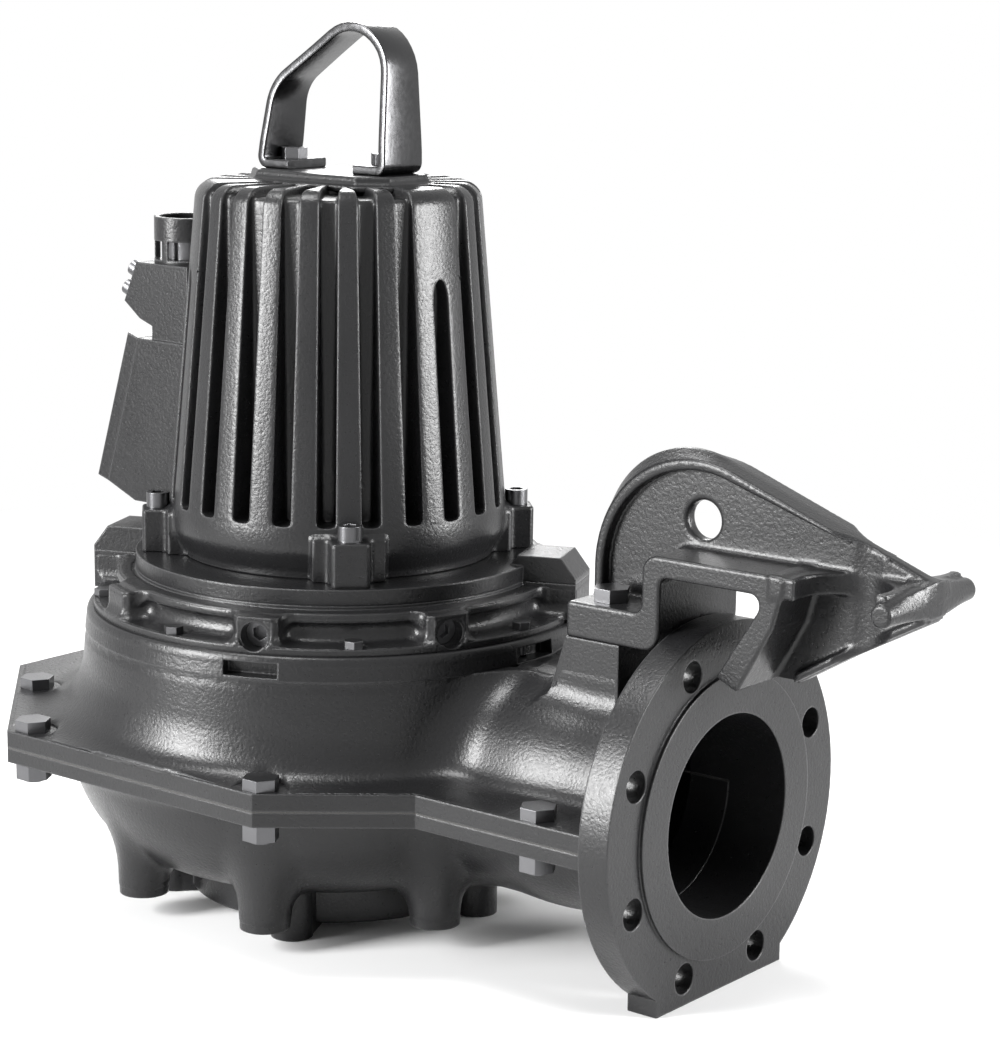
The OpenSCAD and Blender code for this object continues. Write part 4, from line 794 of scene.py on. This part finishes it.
def oil_housing_field(p):
    """Drum and band, boss and tall block, and the foot flange, joined, then room for the
    flange's screws and the two holes of the oil screws cut out."""
    x, y, z = p[..., 0], p[..., 1], p[..., 2]
    radius, angle = np.hypot(x, y), np.arctan2(y, x)
    out, aside = sector(radius, angle)
    boss = soft_max(polygon_field(out, aside, BOSS) - 0.3, z - 260.3, 4)
    c, s = math.cos(math.radians(22.5)), math.sin(math.radians(22.5))
    across, along = np.abs(y * c - x * s), np.abs(x * c + y * s)
    sink = 0.9 * np.clip((z - 259) / 3, 0, 1)
    tall = soft_max(across - 22.3 + sink, along - 198.3 + sink, 4)
    tall = soft_max(tall, 120 - along, 1)
    drum = soft_max(radius - 168.3, z - 260.3, 3)
    band = soft_max(radius - 172.3, np.abs(z - 257.6) - 3.5, 3)
    body = soft_min(soft_min(drum, band, 4), soft_min(boss, tall, 4), 9)
    body = soft_min(body, np.maximum(radius - 189.4, z - 239.3), 10)
    for a in np.radians(np.arange(0, 360, 45)):
        screw_room = 9.5 - np.hypot(x - 183 * math.cos(a), y - 183 * math.sin(a))
        body = soft_max(body, screw_room, 2)
    for a in np.radians([-67.5, -22.5]):
        off_hole = np.hypot(y * math.cos(a) - x * math.sin(a), z - 246)
        outward = x * math.cos(a) + y * math.sin(a)
        body = soft_max(body, np.minimum(11.5 - off_hole, outward - 150), 2)
    keep = np.maximum.reduce([236.1 - z, z - 261.8, 160 - radius])
    return soft_max(outer_layer(body, 3), keep, 0.5)


mesh = cast_mesh("oil_housing_skin", oil_housing_field, (-203, -203, 233.6), (203, 203, 264), 2.4)
set_piece("oil_housing_skin", mesh, "black_casting")

# %% [markdown]
# ## Lugs of the motor housing
# The ribbed grid has no lugs. Each of the four is a field again: a tapered block and a
# wider pad behind it, joined with a fillet to the cone that the grid follows, and cut off
# just inside that cone. One lug is worked out, and its mesh is turned round the axis.

# %% Motor lugs
CONE_Z = [276, 280, 284.5, 292, 296, 310, 547, 558, 562]
CONE_R = [122, 122, 124.2, 128.6, 130.4, 131, 110, 105, 95]
LUG = [(100, -17.5), (150.5, -14), (152.5, -12), (152.5, 12), (150.5, 14), (100, 17.5)]
LUG_PAD = [(100, -27), (133, -27), (133, 27), (100, 27)]


def motor_lug_field(p):
    """Lug, pad and cone, joined. The cone sinks by 6 mm away from the lug, and only what
    lies more than 4.2 mm below its surface is cut off."""
    x, y, z = p[..., 0], p[..., 1], p[..., 2]
    upright = np.abs(z - 289) - 20
    lug = rounded_block(polygon_field(x, y, LUG), upright, 2)
    pad = rounded_block(polygon_field(x, y, LUG_PAD), upright, 2.5)
    cone = np.hypot(x, y) - np.interp(z, CONE_Z, CONE_R)
    sunk = cone + 0.3 + 6 * np.clip((np.abs(y) - 30) / 6, 0, 1) + 6 * np.clip((z - 312) / 6, 0, 1)
    body = soft_min(soft_min(lug, pad, 6), sunk, 6)
    return np.maximum.reduce([body, -4.2 - cone, 276.1 - z])


def turned_copies(name, field, low, high, step, angles):
    """One mesh of several copies of a field's surface, turned round the axis."""
    points, quads, normals = net_mesh(field, low, high, step)
    turns = [np.array(Matrix.Rotation(math.radians(a), 3, "Z")) for a in angles]
    all_points = np.concatenate([points @ m.T for m in turns])
    all_quads = np.concatenate([quads + k * len(points) for k in range(len(turns))])
    return field_mesh(name, all_points, all_quads, np.concatenate([normals @ m.T for m in turns]))


mesh = turned_copies("motor_lugs", motor_lug_field, (108, -41, 273), (156, 41, 323), 1.7,
    (45, 135, 225, 315))
set_piece("motor_lugs", mesh, "black_casting")

# %% [markdown]
# ## The seat under the bail
# The bail's feet stand on a raised seat on the crown, cast with the housing. Its outline
# has cut corners, and a thin disc of the crown goes with it so that the fillet between
# the two has something to run onto.

# %% Bail seat
SEAT = [(-50, 38), (-70, 22), (-70, -22), (-50, -38), (50, -38), (70, -22), (70, 22), (50, 38)]


def bail_seat_field(p):
    """A round-edged plate joined to a slab of the crown, kept to 6 mm round the plate."""
    flat = polygon_field(p[..., 0], p[..., 1], SEAT)
    seat = rounded_block(flat, np.abs(p[..., 2] - 561) - 8, 2.2)
    crown = np.abs(p[..., 2] - 560) - 2
    return np.maximum(soft_min(seat, crown, 7), flat - 6)


mesh = cast_mesh("bail_seat", bail_seat_field, (-82, -50, 550), (82, 50, 572), 1.6)
set_piece("bail_seat", mesh, "black_casting")

# %% [markdown]
# ## The pad behind the cable entry
# The junction box is screwed to a flat upright pad that fills the grooves behind it. A
# box with round edges is enough, since its back is sunk in the ribs.

# %% Entry pad
def entry_pad_field(p):
    """The rectangle seen from above, 58 by 34 mm, carried 120 mm up with round edges."""
    flat = np.maximum(np.abs(p[..., 1]) - 29, np.abs(p[..., 0] + 115) - 17)
    return rounded_block(flat, np.abs(p[..., 2] - 359) - 60, 2.5)


mesh = cast_mesh("entry_pad", entry_pad_field, (-136, -33, 296), (-94, 33, 422), 2.2)
set_piece("entry_pad", mesh, "black_casting")

# %% [markdown]
# ## Outlines of the guide claw
# The claw hooks over the guide pipes. Its side view is one outline with round corners. A
# thin web with a thick crowned rim stands on it, whose back is an arc that runs out
# straight to the tip. These outlines are worked out first, and the field carries them
# sideways.

# %% Claw outlines
def rounded_outline(corners, radii, steps=8):
    """A closed outline with each corner replaced by an arc of its own radius. The arc's
    middle lies on the line that halves the corner, at radius / sin(half the corner)."""
    corners, made = np.array(corners, float), []
    for k, radius in enumerate(radii):
        a, b, c = corners[k - 1], corners[k], corners[(k + 1) % len(corners)]
        u, v = (a - b) / np.linalg.norm(a - b), (c - b) / np.linalg.norm(c - b)
        half = math.acos(np.clip(u @ v, -1, 1)) / 2
        middle = b + (u + v) / np.linalg.norm(u + v) * radius / math.sin(half)
        first, last = [w * radius / math.tan(half) + b - middle for w in (u, v)]
        start = math.atan2(first[1], first[0])
        turn = (math.atan2(last[1], last[0]) - start + math.pi) % (2 * math.pi) - math.pi
        a = start + turn * np.linspace(0, 1, steps + 1)
        made.append(middle + radius * np.stack([np.cos(a), np.sin(a)], -1))
    return np.concatenate(made)


def web_outline(cx, cz, radius):
    """An arc from its back over the top to where a straight line from the tip touches it."""
    tip = np.array([534.0, 326.0])
    away = tip - (cx, cz)
    touch = math.atan2(away[1], away[0]) + math.acos(radius / np.linalg.norm(away))
    a = np.linspace(math.pi, touch, 48)
    arc = np.stack([cx + radius * np.cos(a), cz + radius * np.sin(a)], -1)
    return np.concatenate([[(cx - radius, 275)], arc, [tip, (534, 315), (330, 315), (330, 275)]])


PLATE = rounded_outline([(262, 255), (342, 255), (342, 309), (431, 309), (391, 246), (409, 238),
    (436, 287), (444, 315), (444, 324), (327, 324), (327, 281), (262, 281)],
    [1, 13, 6, 8, 4, 4, 6, 6, 5, 12, 8, 3])
WIDE_RIM = web_outline(347.5, 300.5, 87.5)
CROWN_RIM = web_outline(336, 318, 76)
RECESS = web_outline(347.5, 300.5, 80)
LOWER_WEB = [(409, 242), (432, 242), (472, 266), (532, 299), (532, 321), (433, 321)]
LOWER_RIM = [(432, 242), (472, 266), (532, 299), (532, 305), (472, 272), (432, 248)]
print("points of the claw's side view", len(PLATE))

# %% [markdown]
# ## The guide claw
# Each outline is as thick as the casting is there. The web's rim leans from a wide
# outline at its sides to a smaller, higher one in the middle, which makes the parting
# ridge, and the cross bar at the front goes from round at its ends to square in the
# middle in the same way. Cut out last are the round notches for the two guide pipes, the
# lifting hole and the holes of the claw's bolts.

# %% Guide claw
PIPES, LIFTING_HOLE, BOLT_HOLES = (484, 38, 33), (348, 344.5, 14), (286, 28, 8.6)


def round_cut(u, v, hole):
    """Positive inside a round hole, given by the place of its axis and its radius."""
    return hole[2] - np.hypot(u - hole[0], v - hole[1])


def guide_claw_field(p):
    """Outlines in the side view against side, the distance from the middle plane. On a
    grid they are worked out on one slice, because they are the same on all of them."""
    x, z, side = p[..., 0], p[..., 2], np.abs(p[..., 1])
    if p.ndim == 4:
        x, z = x[:, :1], z[:, :1]
    body = rounded_block(polygon_field(x, z, PLATE), side - 50, 2.2)
    table = np.maximum(np.abs(x - 478.5) - 45.5, np.abs(z - 316.5) - 7.5)
    table = rounded_block(table, side - 50, 2.2)
    lean = np.clip((15 - side) / 13, 0, 1)
    web = (1 - lean) * polygon_field(x, z, WIDE_RIM) + lean * polygon_field(x, z, CROWN_RIM)
    web = soft_max(web, side - 15, 2)
    web = soft_max(web, -np.maximum(polygon_field(x, z, RECESS), 6 - side), 3.5)
    lower = np.maximum(polygon_field(x, z, LOWER_WEB), side - 6)
    rim = rounded_block(polygon_field(x, z, LOWER_RIM), side - 14, 2)
    lean = np.clip((57 - side) / 53, 0, 1)
    bar_end = np.hypot(x - 524, z - 311) - 8
    bar_middle = np.maximum(np.abs(x - 526) - 10, np.abs(z - 314.5) - 12.5)
    bar = rounded_block((1 - lean) * bar_end + lean * bar_middle, side - 57, 2)
    body = soft_min(soft_min(body, table, 4), soft_min(lower, rim, 4), 4)
    body = soft_min(soft_min(body, web, 4.5), bar, 3)
    body = soft_max(body, round_cut(x, side, PIPES), 2)
    body = soft_max(body, round_cut(x, z, LIFTING_HOLE), 4)
    return soft_max(body, round_cut(x, side, BOLT_HOLES), 1)


mesh = cast_mesh("guide_claw_casting", guide_claw_field, (256.3, -60.7, 232.4), (540, 61, 400), 1.8)
set_piece("guide_claw_casting", mesh, "black_casting", ["guide_claw"])

# %% [markdown]
# ## The lifting bail
# The bail is a flat steel strap bent over a round former, wider at its feet. A strap is
# one section carried along one path. The path has straight runs and true arcs, the
# section is a flat rectangle with rounded corners, and its width follows the height.

# %% Lifting bail
STRAP_THICK, STRAP_EDGE, BAIL_FOOT = 7.0, 1.3, 569.0


def strap_section(width):
    """A flat rounded rectangle, as points (across the strap, through its thickness)."""
    a = np.radians(np.arange(0, 91, 30))
    corner = STRAP_EDGE * np.stack([np.cos(a), np.sin(a)], -1)
    u, v = width / 2 - STRAP_EDGE, STRAP_THICK / 2 - STRAP_EDGE
    signs = (1, 1), (-1, 1), (-1, -1), (1, -1)
    parts = [corner * (sx, sy) + (sx * u, sy * v) for sx, sy in signs]
    return np.concatenate([p if k % 2 == 0 else p[::-1] for k, p in enumerate(parts)])


def bail_path():
    """Outer line of the strap from foot to foot: four arcs, and points along the straight
    runs between them. The corners below the feet only close the outline."""
    z = BAIL_FOOT
    corners = [(-33, z), (-66, z), (-54.5, z + 66), (62.5, z + 145.3), (65, z), (33, z), (0, z - 40)]
    arcs = rounded_outline(corners, [0.1, 9, 40, 38, 9, 0.1, 0.1], 12).reshape(-1, 13, 2)[1:5]
    path = np.concatenate([[(-33, z)], arcs.reshape(-1, 2), [(33, z)]])
    runs = [np.linspace(a, b, 9)[:-1] if np.linalg.norm(b - a) > 25 else a[None]
        for a, b in zip(path[:-1], path[1:])]
    return np.concatenate(runs + [path[-1:]])


def lifting_bail():
    """The section at every point of the path, half a thickness inside it and turned so that
    the thickness is square to the path. Each end is closed onto its own middle."""
    z, path = BAIL_FOOT, bail_path()
    along = np.gradient(path, axis=0)
    along /= np.linalg.norm(along, axis=1)[:, None]
    inward = np.stack([along[:, 1], -along[:, 0]], -1)
    middle = path + inward * STRAP_THICK / 2
    width = np.interp(path[:, 1], [z, z + 20, z + 93, z + 153], [44, 44, 34, 34])
    rings = np.array([strap_section(w) for w in width])
    x = middle[:, :1] + inward[:, :1] * rings[:, :, 1]
    high = middle[:, 1:] + inward[:, 1:] * rings[:, :, 1]
    body = np.stack([x, rings[:, :, 0], high], -1)
    ends = [np.broadcast_to(body[k].mean(0), body[k].shape)[None] for k in (0, -1)]
    return np.concatenate([ends[0], body, ends[1]])


strap = lifting_bail()
mesh = mesh_from("bail_strap", strap, grid_quads(*strap.shape[:2]), 50)
set_piece("bail_strap", mesh, "bail_steel", ["lifting_bail"])
